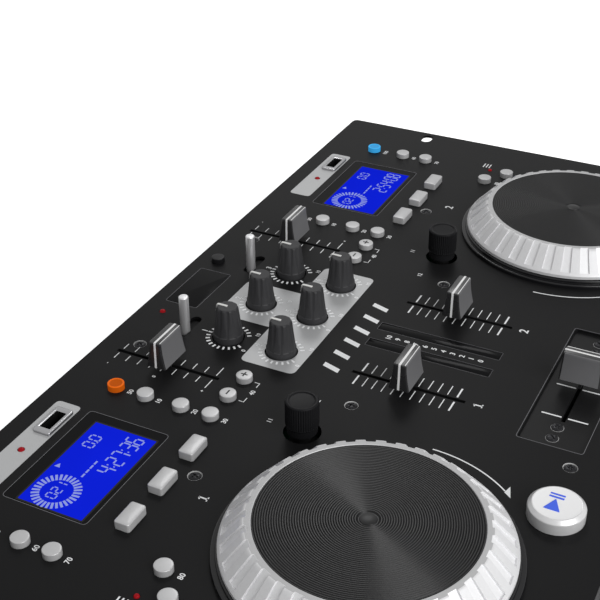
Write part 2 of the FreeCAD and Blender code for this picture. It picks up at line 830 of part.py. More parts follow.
def jog_ring(x, y):
    """Sloping ring round the disc, with raised ribs on its slope."""
    top = panel_top + jog_rise
    seat = top - jog_disc_thick
    low = panel_top + jog_skirt_low
    edge = panel_top + jog_skirt_edge
    inner = jog_disc_radius + 0.1
    under = jog_disc_radius + 4.3
    ring = turned(x, y, [(inner, seat), (inner, top), (jog_lip_radius - 0.8, top),
                         (jog_lip_radius, top - 0.4), (jog_skirt_radius, edge),
                         (jog_skirt_radius, low), (under, low), (under, seat)])
    slope = math.atan2(top - 0.4 - edge, jog_skirt_radius - jog_lip_radius)
    sink_r = jog_rib_depth * math.sin(slope)
    sink_z = jog_rib_depth * math.cos(slope)
    start = Vector(x + jog_lip_radius - jog_rib_notch, y, top - 0.4 + jog_rib_notch * math.tan(slope))
    end = Vector(x + jog_skirt_radius - jog_rib_rim, y, edge + jog_rib_rim * math.tan(slope))
    quad = [start - Vector(sink_r, 0, sink_z), end - Vector(sink_r, 0, sink_z),
            end + Vector(sink_r, 0, sink_z), start + Vector(sink_r, 0, sink_z)]
    face = Part.Face(Part.makePolygon(quad + quad[:1]))
    wide = 180.0 / jog_ribs
    channel = face.revolve(Vector(x, y, 0), UP, wide)
    channels = []
    for i in range(jog_ribs):
        copy = channel.copy()
        copy.rotate(Vector(x, y, 0), UP, 2 * wide * i)
        channels.append(copy)
    return ring.cut(channels)


# ---------------------------------------------------------------- trays and drives

def tray(x):
    """Tray drawer: front, plate with two disc recesses and the slot over the spindle."""
    front_y = front_wall_out - drawer_front_proud
    back = tray_front + tray_length
    plate = box(x - tray_width / 2, x + tray_width / 2, tray_front, back, tray_low, tray_top)
    cuts = [rod(x, spindle_y, tray_disc_radius, tray_top - tray_disc_depth, tray_top + 1),
            rod(x, spindle_y, tray_small_radius, tray_top - tray_disc_depth - tray_small_depth,
                tray_top + 1),
            rod(x, spindle_y, tray_slot_width / 2, tray_low - 1, tray_top + 1),
            box(x - tray_slot_width / 2, x + tray_slot_width / 2, spindle_y,
                spindle_y + tray_small_radius, tray_low - 1, tray_top + 1)]
    face = box(x - drawer_half, x + drawer_half, front_y, tray_front,
               drawer_low, drawer_low + drawer_front_height)
    outer = [e for e in face.Edges if e.BoundBox.YMax < front_y + 0.01]
    return plate.cut(cuts).fuse(face.makeFillet(0.8, outer)).removeSplitter()


def drive_inner_half():
    return tray_width / 2 + slide_gap


def drive_frame(x):
    """Loader frame: floor on four posts, two side rails with lips above and below the tray."""
    front = front_wall_in + drawer_front_thick
    back = front + drive_length
    floor_low = base_top + 3
    floor_top = floor_low + drive_floor_thick
    inner = drive_inner_half()
    outer = inner + rail_wall
    parts = [box(x - outer, x + outer, front, back, floor_low, floor_top)]
    for s in (-1, 1):
        x0, x1 = sorted((x + s * inner, x + s * outer))
        top = tray_top + slide_gap + rail_lip_thick
        parts.append(box(x0, x1, front, back, floor_top, top))
        x0, x1 = sorted((x + s * (inner - rail_lip), x + s * inner))
        parts.append(box(x0, x1, front, back, tray_low - slide_gap - rail_lip_thick, tray_low - slide_gap))
        parts.append(box(x0, x1, front, back, tray_top + slide_gap, top))
        for y in (front + drive_post_inset, back - drive_post_inset):
            parts.append(rod(x + s * (outer - drive_post_inset), y, drive_post_radius, base_top, floor_low))
    motor = rod(x, spindle_y, motor_radius, floor_top, floor_top + motor_height)
    frame = parts[0].multiFuse(parts[1:] + [motor])
    bore = rod(x, spindle_y, spindle_shaft_radius + running_gap, floor_top + 1, floor_top + motor_height + 1)
    return frame.cut(bore).removeSplitter()


def pickup(x):
    """Laser pickup on its two guide rods, parked behind the spindle."""
    floor_top = base_top + 3 + drive_floor_thick
    z = floor_top + 5
    y = spindle_y + motor_radius + pickup_size[1]
    parts = [block(x, y, pickup_size[0], pickup_size[1], z, z + pickup_size[2])]
    start = spindle_y + motor_radius + 2
    for s in (-1, 1):
        rod_x_place = x + s * (pickup_size[0] / 2 - 2 * pickup_rod_radius)
        parts.append(rod_y(rod_x_place, z + pickup_size[2] / 2, pickup_rod_radius, start,
                           start + 2 * pickup_size[1] + 4))
        for end in (start, start + 2 * pickup_size[1] + 4):
            parts.append(block(rod_x_place, end, 6, 4, floor_top, z + pickup_size[2]))
    return parts[0].multiFuse(parts[1:]).removeSplitter()


def disc_spindle(x):
    """Spindle hub that carries the disc, on the motor's shaft."""
    motor_top = base_top + 3 + drive_floor_thick + motor_height
    low = motor_top + slide_gap
    high = tray_low - 2
    shaft_low = motor_top - motor_height + 2
    return turned(x, spindle_y, [(0, shaft_low), (spindle_shaft_radius, shaft_low),
                                 (spindle_shaft_radius, low), (spindle_radius, low),
                                 (spindle_radius, low + 2.5), (spindle_cone_radius, low + 2.5),
                                 (spindle_cone_radius - 1.5, high), (0, high)])


# ---------------------------------------------------------------- inside

def track(x, y, length, low_stop, lever_slot, along_x):
    """Fader mechanism: a long box from the board up to the panel, slotted for the lever."""
    size = (length, track_width) if along_x else (track_width, length)
    body = block(x, y, size[0], size[1], board_top, low_stop)
    cut_size = (lever_slot, fader_slot_width) if along_x else (fader_slot_width, lever_slot)
    slot = block(x, y, cut_size[0], cut_size[1], panel_under - stem_depth - slide_gap * 2, low_stop + 1)
    return body.cut(slot)


def pot(x, y):
    """Rotary potentiometer or encoder: square body and threaded bush."""
    body_top = panel_under - pot_drop
    body = block(x, y, pot_size, pot_size, board_top, body_top)
    bush = rod(x, y, bush_radius, body_top, panel_top + bush_rise)
    bore = rod(x, y, shaft_radius + running_gap, board_top + 4, panel_top + bush_rise + 1)
    return body.fuse(bush).cut(bore)


def selector_switch(x):
    y = row(selector_from_back)
    top = panel_under - selector_strip_thick - 2 * slide_gap
    body = block(x, y, selector_body[0], selector_body[1], board_top, top)
    slot = oblong_x(x, y, selector_slot, selector_slot_width,
                    panel_under - selector_depth - slide_gap, panel_under)
    return body.cut(slot)


def key_switch(x, y):
    return block(x, y, switch_size, switch_size, board_top, switch_top)


def control_mechanisms():
    solids = []
    for side, _ in SIDES:
        solids.append(track(side * pitch_x, row(pitch_from_back), pitch_slot + 2 * track_end, panel_under,
                            pitch_slot, False))
        solids.append(track(side * column_x, row(fader_from_back), fader_slot + 2 * track_end, panel_under,
                            fader_slot, False))
        solids.append(pot(side * encoder[0], row(encoder[1])))
        solids.append(selector_switch(side * column_x))
        keys = mode_keys + bend_keys + side_keys + loop_keys + (pitch_key, eject_key, play_key, cue_key)
        solids += [key_switch(side * x, row(d)) for x, d in keys]
    plate_low = panel_under - crossfader_plate_thick
    rail = track(0, row(crossfader_from_back), 2 * crossfader_track_half, plate_low, crossfader_slot, True)
    holes = [rod(x, y, screw_shank_radius + hole_gap, board_top + 1, panel_top)
             for x, y in crossfader_screw_places()]
    solids.append(rail.cut(holes))
    solids += [pot(x, y) for _, x, y in knob_places()]
    solids.append(key_switch(link_key[0], row(link_key[1])))
    return solids


def board(x0, x1, near, far):
    """Circuit board between two distances from the panel's back edge."""
    return box(min(x0, x1), max(x0, x1), row(far), row(near), board_under, board_top)


def post(x, y, top):
    """Stand-off with a blind screw hole in its top."""
    solid = rod(x, y, post_radius, board_top, top)
    return solid.cut(rod(x, y, screw_shank_radius + hole_gap / 2, top - screw_length - 1, top + 1))


def circuit_boards():
    solids = [board(*mixer_board)]
    for side, _ in SIDES:
        x0, x1, near, far = deck_board
        solids.append(board(side * x0, side * x1, near, far))
        x0, x1, near, far = key_board
        solids.append(board(side * x0, side * x1, near, far))
    solids += [post(x, y, panel_under) for x, y in screw_places()]
    far_x = crossfader_screw_x[1]
    y = row(crossfader_screw_from_back)
    solids += [post(side * far_x, y, panel_under - crossfader_plate_thick) for side, _ in SIDES]
    rear = rear_wall_in - rear_board_gap
    solids.append(box(rear_board[0], rear_board[1], rear - board_thick, rear,
                      base_top, base_top + rear_board_heights[1]))
    return solids


def power_supply():
    """Supply board on posts with its transformer and capacitors."""
    x0, x1, near, far = supply_board
    low = base_top + supply_rise
    plate = box(x0, x1, row(far), row(near), low, low + board_thick)
    inset = 6.0
    posts = [rod(x, y, post_radius + 1, base_top, low)
             for x in (x0 + inset, x1 - inset) for y in (row(far) + inset, row(near) - inset)]
    top = low + board_thick
    transformer = block(x0 + transformer_size[0] / 2 + inset, (row(near) + row(far)) / 2,
                        transformer_size[0], transformer_size[1], top, top + transformer_size[2])
    solids = [plate.multiFuse(posts), transformer]
    for i in (-1, 0, 1):
        y = (row(near) + row(far)) / 2 + i * 3 * capacitor_radius
        solids.append(rod(x1 - 2 * capacitor_radius, y, capacitor_radius, top, top + capacitor_height))
    return solids


# ---------------------------------------------------------------- sockets

def rca_socket(x, z):
    """Pin jack: body between the rear wall and its board, barrel through the wall."""
    board_face = rear_wall_in - rear_board_gap
    body = box(x - rca_body[0] / 2, x + rca_body[0] / 2, board_face, rear_wall_in,
               z - rca_body[1] / 2, z + rca_body[1] / 2)
    barrel = rod_y(x, z, rca_radius, rear_wall_in, rear_wall_out + rca_length)
    bore = rod_y(x, z, rca_hole_radius, rear_wall_in - 4, rear_wall_out + rca_length + 1)
    return body.fuse(barrel).cut(bore)


def jack_socket(x):
    """Large jack socket in the front wall, with a round nose and a blind bore."""
    nose = rod_y(x, jack_height, jack_bush_radius, front_wall_out - jack_bush_proud, front_wall_in)
    body = box(x - jack_body[0] / 2, x + jack_body[0] / 2, front_wall_in, front_wall_in + jack_depth + 3,
               jack_height - jack_body[1] / 2, jack_height + jack_body[1] / 2)
    bore = rod_y(x, jack_height, jack_bore_radius, front_wall_out - jack_bush_proud - 1,
                 front_wall_in + jack_depth)
    return nose.fuse(body).cut(bore)


def inlet_shell_size():
    return (inlet_cavity[0] + 4, inlet_cavity[1] + 4)


def power_inlet():
    """Two-pin mains inlet: flange outside the rear wall, cavity and two pins."""
    x = inlet_x
    z = inlet_height
    width, tall = inlet_shell_size()
    face = rear_wall_out + 1.5
    flange = box(x - inlet_flange[0] / 2, x + inlet_flange[0] / 2, rear_wall_out, face,
                 z - inlet_flange[1] / 2, z + inlet_flange[1] / 2)
    shell = box(x - width / 2, x + width / 2, face - inlet_depth - 2, rear_wall_out,
                z - tall / 2, z + tall / 2)
    cavity = box(x - inlet_cavity[0] / 2, x + inlet_cavity[0] / 2, face - inlet_depth, face + 1,
                 z - inlet_cavity[1] / 2, z + inlet_cavity[1] / 2)
    pins = [rod_y(x + s * inlet_pin_half_pitch, z, inlet_pin_radius, face - inlet_depth - 1,
                  face - inlet_depth + inlet_pin_length) for s in (-1, 1)]
    return flange.fuse(shell).cut(cavity).multiFuse(pins).removeSplitter()


def rocker_frame_size():
    return (rocker_width + 2 * rocker_frame_wall + 1, 2 * rocker_radius + 2 * rocker_frame_wall + 1)


def rocker_frame():
    """Frame of the power switch, open to the rear."""
    width, tall = rocker_frame_size()
    z = inlet_height
    face = rear_wall_out + 1.5
    rim = box(rocker_x - width / 2 - 1.5, rocker_x + width / 2 + 1.5, rear_wall_out, face,
              z - tall / 2 - 1.5, z + tall / 2 + 1.5)
    depth = rocker_sink + rocker_radius + 4
    shell = box(rocker_x - width / 2, rocker_x + width / 2, face - depth, rear_wall_out,
                z - tall / 2, z + tall / 2)
    inner = (rocker_width / 2 + slide_gap, rocker_radius + slide_gap)
    well = box(rocker_x - inner[0], rocker_x + inner[0], face - depth + 2, face + 1,
               z - inner[1], z + inner[1])
    return rim.fuse(shell).cut(well)


def power_rocker():
    """Rocker: a drum section whose outer face is two flats that meet at a shallow angle."""
    face = rear_wall_out + 1.5
    pivot = face - rocker_sink
    z = inlet_height
    half = rocker_width / 2
    drum = rod_x(pivot, z, rocker_radius, rocker_x - half, rocker_x + half)
    reach = rocker_radius + 2
    lift = 2.2
    dip = 1.2
    keep = extruded_x(rocker_x - half, rocker_x + half,
                      [(pivot - rocker_radius, z - reach), (pivot + lift, z - reach),
                       (pivot + dip, z), (pivot + lift, z + reach), (pivot - rocker_radius, z + reach)])
    solid = drum.common(keep)
    nose = rod_x(pivot, z, 1.0, rocker_x - half, rocker_x + half)
    solid = solid.fuse(nose).removeSplitter()
    solid.rotate(Vector(rocker_x, pivot, z), Vector(1, 0, 0), -rocker_tilt)
    return solid


def sockets():
    solids = [rca_socket(x, base_top + z) for x in rca_x for z in rca_heights]
    solids += [jack_socket(x) for x in jack_x]
    solids += [power_inlet(), rocker_frame()]
    return solids


# ---------------------------------------------------------------- build

os.makedirs("parts", exist_ok=True)

save("top_panel", [panel()])
save("base_pan", base_pan())
save("side_walls", side_walls())
save("end_walls", [front_wall(), rear_wall()])
save("feet", feet())
save("screws", screws())
save("crossfader_plate", [crossfader_plate()])
save("window_lenses", window_lenses())
save("lcd_panels", lcd_panels())
save("usb_ports", [usb_port(x) for x in usb_port_x])
save("indicator_lamps", [lamp(x, y, radius) for x, y, radius in lamp_places()])
save("control_mechanisms", control_mechanisms())
save("circuit_boards", circuit_boards())
save("power_supply", power_supply())
save("sockets", sockets())
save("power_rocker", [power_rocker()])
save("jog_bases", [part for side, _ in SIDES for part in jog_base(side * jog_x, row(jog_from_back))])
save("disc_drives",
     [part for side, _ in SIDES for part in (drive_frame(side * tray_x), pickup(side * tray_x))])

for name, x, y in knob_places():
    save(name, [knob(x, y)])

save("crossfader", [fader_cap(crossfader_rest, row(crossfader_from_back), True)])
save("link_key", [round_key(link_key[0], row(link_key[1]), link_key_radius)])

for side, name in SIDES:
    save("channel_fader_" + name,
         [fader_cap(side * column_x, row(fader_from_back) + fader_rest_offset, False)])
    save("pitch_fader_" + name, [fader_cap(side * pitch_x, row(pitch_from_back), False)])
    save("selector_lever_" + name, [selector_lever(side * column_x - selector_rest)])
    save("encoder_shaft_" + name, [encoder_shaft(side * encoder[0], row(encoder[1]))])
    save("encoder_knob_" + name, [encoder_knob(side * encoder[0], row(encoder[1]))])
    save("jog_disc_" + name, [jog_disc(side * jog_x, row(jog_from_back))])
    save("jog_ring_" + name, [jog_ring(side * jog_x, row(jog_from_back))])
    save("tray_" + name, [tray(side * tray_x)])
    save("disc_spindle_" + name, [disc_spindle(side * tray_x)])
    save("pitch_key_" + name, [round_key(side * pitch_key[0], row(pitch_key[1]), round_key_radius)])
    save("eject_key_" + name, [round_key(side * eject_key[0], row(eject_key[1]), round_key_radius)])
    save("play_key_" + name, [play_button(side * play_key[0], row(play_key[1]))])
    save("cue_key_" + name, [play_button(side * cue_key[0], row(cue_key[1]))])
    save("mode_keys_" + name, [comb(side, mode_keys, lambda x, y: round_key(x, y, round_key_radius))])
    save("bend_keys_" + name, [comb(side, bend_keys, lambda x, y: round_key(x, y, round_key_radius))])
    save("side_keys_" + name, [comb(side, side_keys, lambda x, y: round_key(x, y, round_key_radius))])
    save("loop_keys_" + name, [comb(side, loop_keys, loop_key)])
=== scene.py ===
import math

import bmesh
import bpy
import numpy as np
from mathutils import Matrix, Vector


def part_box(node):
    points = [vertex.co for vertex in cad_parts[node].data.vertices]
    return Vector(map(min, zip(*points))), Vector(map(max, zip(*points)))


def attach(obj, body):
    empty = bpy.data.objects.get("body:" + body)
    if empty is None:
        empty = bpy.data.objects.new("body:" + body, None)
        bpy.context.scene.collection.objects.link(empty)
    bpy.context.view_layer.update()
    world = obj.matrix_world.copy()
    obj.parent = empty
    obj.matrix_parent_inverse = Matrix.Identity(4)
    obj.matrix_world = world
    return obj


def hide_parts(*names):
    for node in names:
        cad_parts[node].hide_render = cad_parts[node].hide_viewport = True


bl_info = {
    "name": "Twin-deck DJ console",
    "version": (1, 0, 0),
    "blender": (4, 5, 0),
    "location": "View3D > Sidebar > DJ console",
    "description": "Dresses the packed console: print, knobs, faders, jog wheels, keys, displays",
    "category": "Object",
}

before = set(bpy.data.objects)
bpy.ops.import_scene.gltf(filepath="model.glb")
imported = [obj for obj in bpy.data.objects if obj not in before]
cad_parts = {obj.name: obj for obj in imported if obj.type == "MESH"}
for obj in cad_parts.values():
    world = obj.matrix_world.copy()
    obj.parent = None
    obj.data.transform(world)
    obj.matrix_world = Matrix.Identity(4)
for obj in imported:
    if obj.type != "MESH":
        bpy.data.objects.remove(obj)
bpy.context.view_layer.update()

MM = 0.001
SIDES = ((-1, "left"), (1, "right"))


def span(node):
    """Lowest and highest corner of a CAD node, in millimetres."""
    low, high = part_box(node)
    return np.array(low) / MM, np.array(high) / MM


def middle(node):
    """Centre of a CAD node's box, in millimetres."""
    low, high = span(node)
    return (low + high) / 2


PANEL_LOW, PANEL_HIGH = span("top_panel")
TOP = PANEL_HIGH[2]
BACK = PANEL_HIGH[1]
UNDER = PANEL_LOW[2]


def row(from_back):
    """Y of a line at this distance from the panel's back edge, in millimetres."""
    return BACK - from_back


# ---------------------------------------------------------------- places

# Distances from the middle of the console and from the panel's back edge, in millimetres. What
# stands on both decks is given for the right one.
COLUMN = 34.8
KNOB_PLACES = [(x, d) for d in (55.0, 84.75) for x in (-COLUMN, 0.0, COLUMN)]
JOG = (144.5, 179.2)
ENCODER = (87.4, 122.3)
DISPLAY = (148.3, 49.3)
METER = (7.85, 151.2)
CENTRE_WINDOW = (0.0, 17.2)
PANEL_SCREWS = ((59.6, 18.5), (60.0, 134.0), (134.6, 94.6), (59.5, 236.7), (144.5, 249.0))
PLATE_SCREWS = ((32.8, 223.4), (41.1, 223.4))
LOOP_KEYS = ((120.3, 85.3), (145.2, 85.3), (170.0, 85.3))
KEY_GROUPS = {"mode_keys": ((95.8, 44.9), (95.8, 64.1), (95.8, 79.8)),
              "bend_keys": ((79.4, 79.8), (63.5, 79.8)),
              "side_keys": ((200.0, 52.8), (200.0, 68.4), (188.2, 112.5), (201.2, 122.4))}
BEND_MIDDLE = 71.0
PORT_BACK = 17.9
PORT_FIELDS = ((-147.0, -130.5, -152.8), (153.0, 169.4, 146.7))
LAMPS = ((-28.7, 12.4, 1.0), (-152.8, 16.9, 1.0), (146.7, 16.9, 1.0), (-204.5, 110.6, 0.8),
         (204.5, 110.6, 0.8))

# Heights above the panel's face, and the sizes of the round keys.
KEY_RADIUS = 4.0
KEY_RISE = 3.0
KEY_FOOT = -2.0
KEY_SIGN = 3.02
LARGE_KEY_FACE = 6.1

# Font size of a numeral one unit tall, and how much its strokes are thickened.
LETTER_SIZE = 1.38
LETTER_WEIGHT = 0.025

# Camera and light, in metres.
CAMERA_AXES = ((0.4454, -0.8953, -0.0067), (0.4744, 0.2296, 0.8498), (-0.7593, -0.3817, 0.5270))
CAMERA_PLACE = (-0.46986, -0.18349, 0.42856)
LIT_POINT = (0.0, 0.0, 0.1)
MIRRORED_WHITE = 0.8
FLOOR_RADIUS = 2.0
FLOOR_DROP = 0.0002
FLOOR_GLOW = 0.68


# ---------------------------------------------------------------- settings

def colour(name, default, text):
    """A colour that can be set in the panel."""
    return bpy.props.FloatVectorProperty(name=name, description=text, subtype="COLOR", size=3,
                                         default=default, min=0.0, max=1.0)


def length(name, default, text):
    """A length in metres, whose default is given in millimetres."""
    return bpy.props.FloatProperty(name=name, description=text, default=default * MM, min=0.0,
                                   precision=5, unit="LENGTH", subtype="DISTANCE")


def share(name, default, text):
    """A number from 0 to 1."""
    return bpy.props.FloatProperty(name=name, description=text, default=default, min=0.0, max=1.0,
                                   subtype="FACTOR")


class PrintSettings(bpy.types.PropertyGroup):
    ink: colour("Ink", (0.88, 0.89, 0.90), "Colour of the white printing")
    # Grey of the lines round the windows: painted highlight of light caught on the window edges.
    window_edge_highlight: colour("Line ink", (0.16, 0.16, 0.17), "Colour of the thin lines round the windows")
    plate: colour("Plate", (0.46, 0.465, 0.47), "Colour of the printed grey fields")
    thickness: length("Ink thickness", 0.04, "How far the printing stands above the panel")
    fine: length("Fine line", 0.45, "Width of the fine scale marks")
    bold: length("Bold line", 0.85, "Width of the end marks of a scale")


class CasingSettings(bpy.types.PropertyGroup):
    paint: colour("Paint", (0.0088, 0.0088, 0.0092), "Colour of the satin panel paint")
    casing: colour("Casing", (0.011, 0.011, 0.012), "Colour of the powder-coated casing")
    screw: colour("Screws", (0.02, 0.02, 0.022), "Colour of the blackened screws")
    gloss: share("Paint roughness", 0.42, "Roughness of the panel paint")


class KnobSettings(bpy.types.PropertyGroup):
    rubber: colour("Rubber", (0.03, 0.03, 0.032), "Colour of the soft-touch knobs")
    pointer: colour("Pointer", (0.78, 0.78, 0.76), "Colour of the pointer line")
    flutes: bpy.props.IntProperty(name="Flutes", description="Flutes round a mixer knob",
                                  default=10, min=3)
    flute_radius: length("Flute radius", 1.6, "Radius of the round flutes of a mixer knob")
    flute_depth: length("Flute depth", 0.7, "Depth of a flute at the top of a mixer knob")
    encoder: colour("Encoder", (0.012, 0.012, 0.013), "Colour of the glossy push encoders")
    encoder_ribs: bpy.props.IntProperty(name="Encoder ribs",
                                        description="Ribs round an encoder knob", default=44, min=3)


class FaderSettings(bpy.types.PropertyGroup):
    cap: colour("Cap", (0.022, 0.022, 0.023), "Colour of the ends and the top of the fader caps")
    # The wide sides are a lighter copy of the cap plastic: painted reflection of the bright
    # surround.
    flank_reflection: colour("Flank", (0.14, 0.14, 0.145), "Colour of the curved wide sides of the fader caps")
    # The stripe colour also paints the thin line along the front edge of a cap's top, a painted
    # highlight.
    stripe: colour("Stripe", (0.9, 0.9, 0.9), "Colour of the line over a fader cap")
    stripe_width: length("Stripe width", 1.1, "Width of the line over a fader cap")
    chrome: colour("Chrome", (0.72, 0.72, 0.73), "Colour of the chrome levers")


class JogSettings(bpy.types.PropertyGroup):
    silver: colour("Ring", (0.7, 0.7, 0.71), "Colour of the silver ring")
    # The flat top is a darker copy of the ring silver: painted shade.
    land: colour("Land", (0.46, 0.46, 0.465), "Colour of the ring's flat top")
    disc: colour("Disc", (0.009, 0.009, 0.0095), "Colour of the grooved disc")
    ribs: bpy.props.IntProperty(name="Ribs", description="Raised ribs round the ring", default=36,
                                min=6)
    rib_depth: length("Rib depth", 0.95, "Depth of the channels between the ribs")
    groove: length("Groove pitch", 1.0, "Distance from one groove of the disc to the next")
    groove_depth: length("Groove depth", 0.3, "Depth of a groove in the disc")


class KeySettings(bpy.types.PropertyGroup):
    silver: colour("Silver", (0.5, 0.5, 0.505), "Colour of the silver keys")
    pale: colour("Pale", (0.88, 0.88, 0.885), "Colour of the faces of the large keys")
    orange: colour("Orange", (0.60, 0.105, 0.005), "Colour of the lit pitch keys")
    blue: colour("Blue", (0.045, 0.38, 0.78), "Colour of the lit eject keys")
    symbol: colour("Symbol", (0.05, 0.13, 0.85), "Colour of the play symbol")
    mark: colour("Mark", (0.02, 0.02, 0.02), "Colour of the small marks on the keys")


class DisplaySettings(bpy.types.PropertyGroup):
    glass: colour("Window", (0.0075, 0.0075, 0.008), "Colour of the dark windows")
    blue: colour("Backlight", (0.004, 0.014, 0.64), "Colour of the lit display")
    digit: colour("Digits", (0.19, 0.23, 0.52), "Colour of the display's digits")
    lamp: colour("Lamps", (0.42, 0.010, 0.016), "Colour of the indicator lamps")


class StageSettings(bpy.types.PropertyGroup):
    floor: colour("Floor", (0.9, 0.9, 0.9), "Colour of the floor")
    lens: bpy.props.FloatProperty(name="Lens", description="Focal length of the camera",
                                  default=72.44, min=10.0, unit="CAMERA")
    surround: share("Surround", 0.35, "Strength of the even light from all round")


GROUPS = (("printing", PrintSettings), ("casing", CasingSettings), ("knobs", KnobSettings),
          ("faders", FaderSettings), ("jogs", JogSettings), ("keys", KeySettings),
          ("displays", DisplaySettings), ("stage", StageSettings))


# ---------------------------------------------------------------- finishes

class Value:
    """A number in a material's node tree that takes part in ordinary arithmetic."""

    def __init__(self, finish, socket):
        self.finish = finish
        self.socket = socket

    def math(self, operation, first, second):
        return self.finish.node("ShaderNodeMath", {"operation": operation}, {0: first, 1: second})

    def __add__(self, other):
        return self.math("ADD", self, other)

    def __sub__(self, other):
        return self.math("SUBTRACT", self, other)

    def __mul__(self, other):
        return self.math("MULTIPLY", self, other)

    def __radd__(self, other):
        return self.math("ADD", other, self)

    def __rsub__(self, other):
        return self.math("SUBTRACT", other, self)

    def __rmul__(self, other):
        return self.math("MULTIPLY", other, self)


class Finish:
    """One material: a Principled shader whose inputs are set, or fed by expressions."""

    def __init__(self, name):
        self.material = bpy.data.materials.new(name)
        self.material.use_nodes = True
        self.tree = self.material.node_tree
        self.tree.nodes.clear()
        self.place = self.node("ShaderNodeTexCoord", output="Object")

    def node(self, kind, settings=None, values=None, output=0):
        """Adds a node, sets it up, then sets or links its sockets, and returns one of its
        outputs."""
        node = self.tree.nodes.new(kind)
        for key, setting in (settings or {}).items():
            setattr(node, key, setting)
        for key, value in (values or {}).items():
            if isinstance(value, Value):
                self.tree.links.new(value.socket, node.inputs[key])
            else:
                node.inputs[key].default_value = value
        return Value(self, node.outputs[output])

    def noise(self, scale, detail=2.0, roughness=0.5, stretch=(1, 1, 1)):
        """Noise from 0 to 1 about 0.5, with so many features to the metre, stretched along the
        axes."""
        where = self.node("ShaderNodeMapping", None, {"Vector": self.place, "Scale": stretch},
                          "Vector")
        return self.node("ShaderNodeTexNoise", None,
                         {"Vector": where, "Scale": scale, "Detail": detail,
                          "Roughness": roughness})

    def mix(self, factor, first, second):
        """Colour between two colours."""
        ends = [value if isinstance(value, Value) else (*value[:3], 1.0)
                for value in (first, second)]
        return self.node("ShaderNodeMix", {"data_type": "RGBA"},
                         {0: factor, 6: ends[0], 7: ends[1]}, 2)

    def bump(self, height, depth):
        """Normal of a surface whose height of 0 to 1 stands for so many metres."""
        return self.node("ShaderNodeBump", None, {"Height": height, "Distance": depth}, "Normal")

    def done(self, values):
        """Finishes the material with a Principled shader."""
        ready = {key: (*value, 1.0) if isinstance(value, tuple) and len(value) == 3 else value
                 for key, value in values.items()}
        shader = self.node("ShaderNodeBsdfPrincipled", None, ready, "BSDF")
        self.node_out(shader)
        return self.material

    def node_out(self, shader):
        """Ends the material's tree with this shader."""
        out = self.tree.nodes.new("ShaderNodeOutputMaterial")
        self.tree.links.new(shader.socket, out.inputs["Surface"])


def scaled(tint, factor):
    """The colour made lighter or darker, and kept at 1 or less."""
    return tuple(min(1.0, part * factor) for part in tint)


def painted(name, tint, roughness, grain=1500.0, peel=260.0, depth=0.00002, sheen=0.35,
            uneven=0.12):
    """Satin paint or coating: fine grain in colour and height over a soft orange peel."""
    finish = Finish(name)
    fine = finish.noise(grain, 3.0, 0.6)
    soft = finish.noise(peel, 2.0, 0.5)
    wear = finish.noise(14.0, 3.0, 0.55)
    tone = finish.mix(fine * 0.7 + wear * 0.3, scaled(tint, 1 - uneven * 2),
                      scaled(tint, 1 + uneven * 2))
    rough = roughness - 0.05 + fine * 0.05 + wear * 0.06
    return finish.done({"Base Color": tone, "Roughness": rough, "Specular IOR Level": sheen,
                        "Normal": finish.bump(fine * 0.7 + soft * 0.6, depth)})


def moulded(name, tint, roughness, grain=2200.0, depth=0.00002, sheen=0.5, uneven=0.08):
    """Moulded plastic: spark-eroded grain and slow changes of gloss from handling."""
    finish = Finish(name)
    fine = finish.noise(grain, 2.0, 0.55)
    touch = finish.noise(45.0, 3.0, 0.6)
    tone = finish.mix(touch, scaled(tint, 1 - uneven), scaled(tint, 1 + uneven))
    rough = roughness - 0.04 + touch * 0.08
    return finish.done({"Base Color": tone, "Roughness": rough, "Specular IOR Level": sheen,
                        "Normal": finish.bump(fine, depth)})


def silvered(name, tint, roughness, metallic=0.6, grain=2600.0, streak=(1, 1, 1), depth=0.000012,
             uneven=0.1):
    """Silver paint or satin metal: flakes in the gloss, and streaks where it is stretched."""
    finish = Finish(name)
    flake = finish.noise(grain, 2.0, 0.7)
    line = finish.noise(420.0, 4.0, 0.6, streak)
    tone = finish.mix(flake * 0.5 + line * 0.5, scaled(tint, 1 - uneven), scaled(tint, 1 + uneven))
    rough = roughness - 0.06 + flake * 0.07 + line * 0.06
    return finish.done({"Base Color": tone, "Roughness": rough, "Metallic": metallic,
                        "Normal": finish.bump(flake * 0.4 + line * 0.6, depth)})


def lit(name, tint, strength, gloss=0.25, uneven=0.12, sheen=0.05):
    """Translucent part lit from behind, brighter where the lamp sits close under it."""
    finish = Finish(name)
    cloud = finish.noise(160.0, 2.0, 0.5)
    glow = finish.mix(cloud, scaled(tint, 1 - uneven), scaled(tint, 1 + uneven))
    return finish.done({"Base Color": scaled(tint, 0.5), "Roughness": gloss, "Emission Color": glow,
                        "Emission Strength": strength, "Specular IOR Level": sheen,
                        "Normal": finish.bump(finish.noise(2600.0), 0.00001)})


def printed(name, tint, roughness=0.55):
    """Screen-printed ink: a slightly uneven film."""
    finish = Finish(name)
    film = finish.noise(1900.0, 3.0, 0.6)
    tone = finish.mix(film, scaled(tint, 0.86), scaled(tint, 1.06))
    return finish.done({"Base Color": tone, "Roughness": roughness - 0.05 + film * 0.1,
                        "Specular IOR Level": 0.3, "Normal": finish.bump(film, 0.00001)})


def backlit(name, tint):
    """Liquid-crystal face: an even glow that falls off a little in broad clouds, with a fine grain
    in height."""
    finish = Finish(name)
    cloud = finish.noise(38.0, 1.0, 0.4)
    glow = finish.mix(cloud, scaled(tint, 0.9), scaled(tint, 1.08))
    return finish.done({"Base Color": scaled(tint, 0.03), "Roughness": 0.3, "Emission Color": glow,
                        "Emission Strength": 1.0, "Specular IOR Level": 0.0,
                        "Normal": finish.bump(finish.noise(2400.0), 0.000006)})


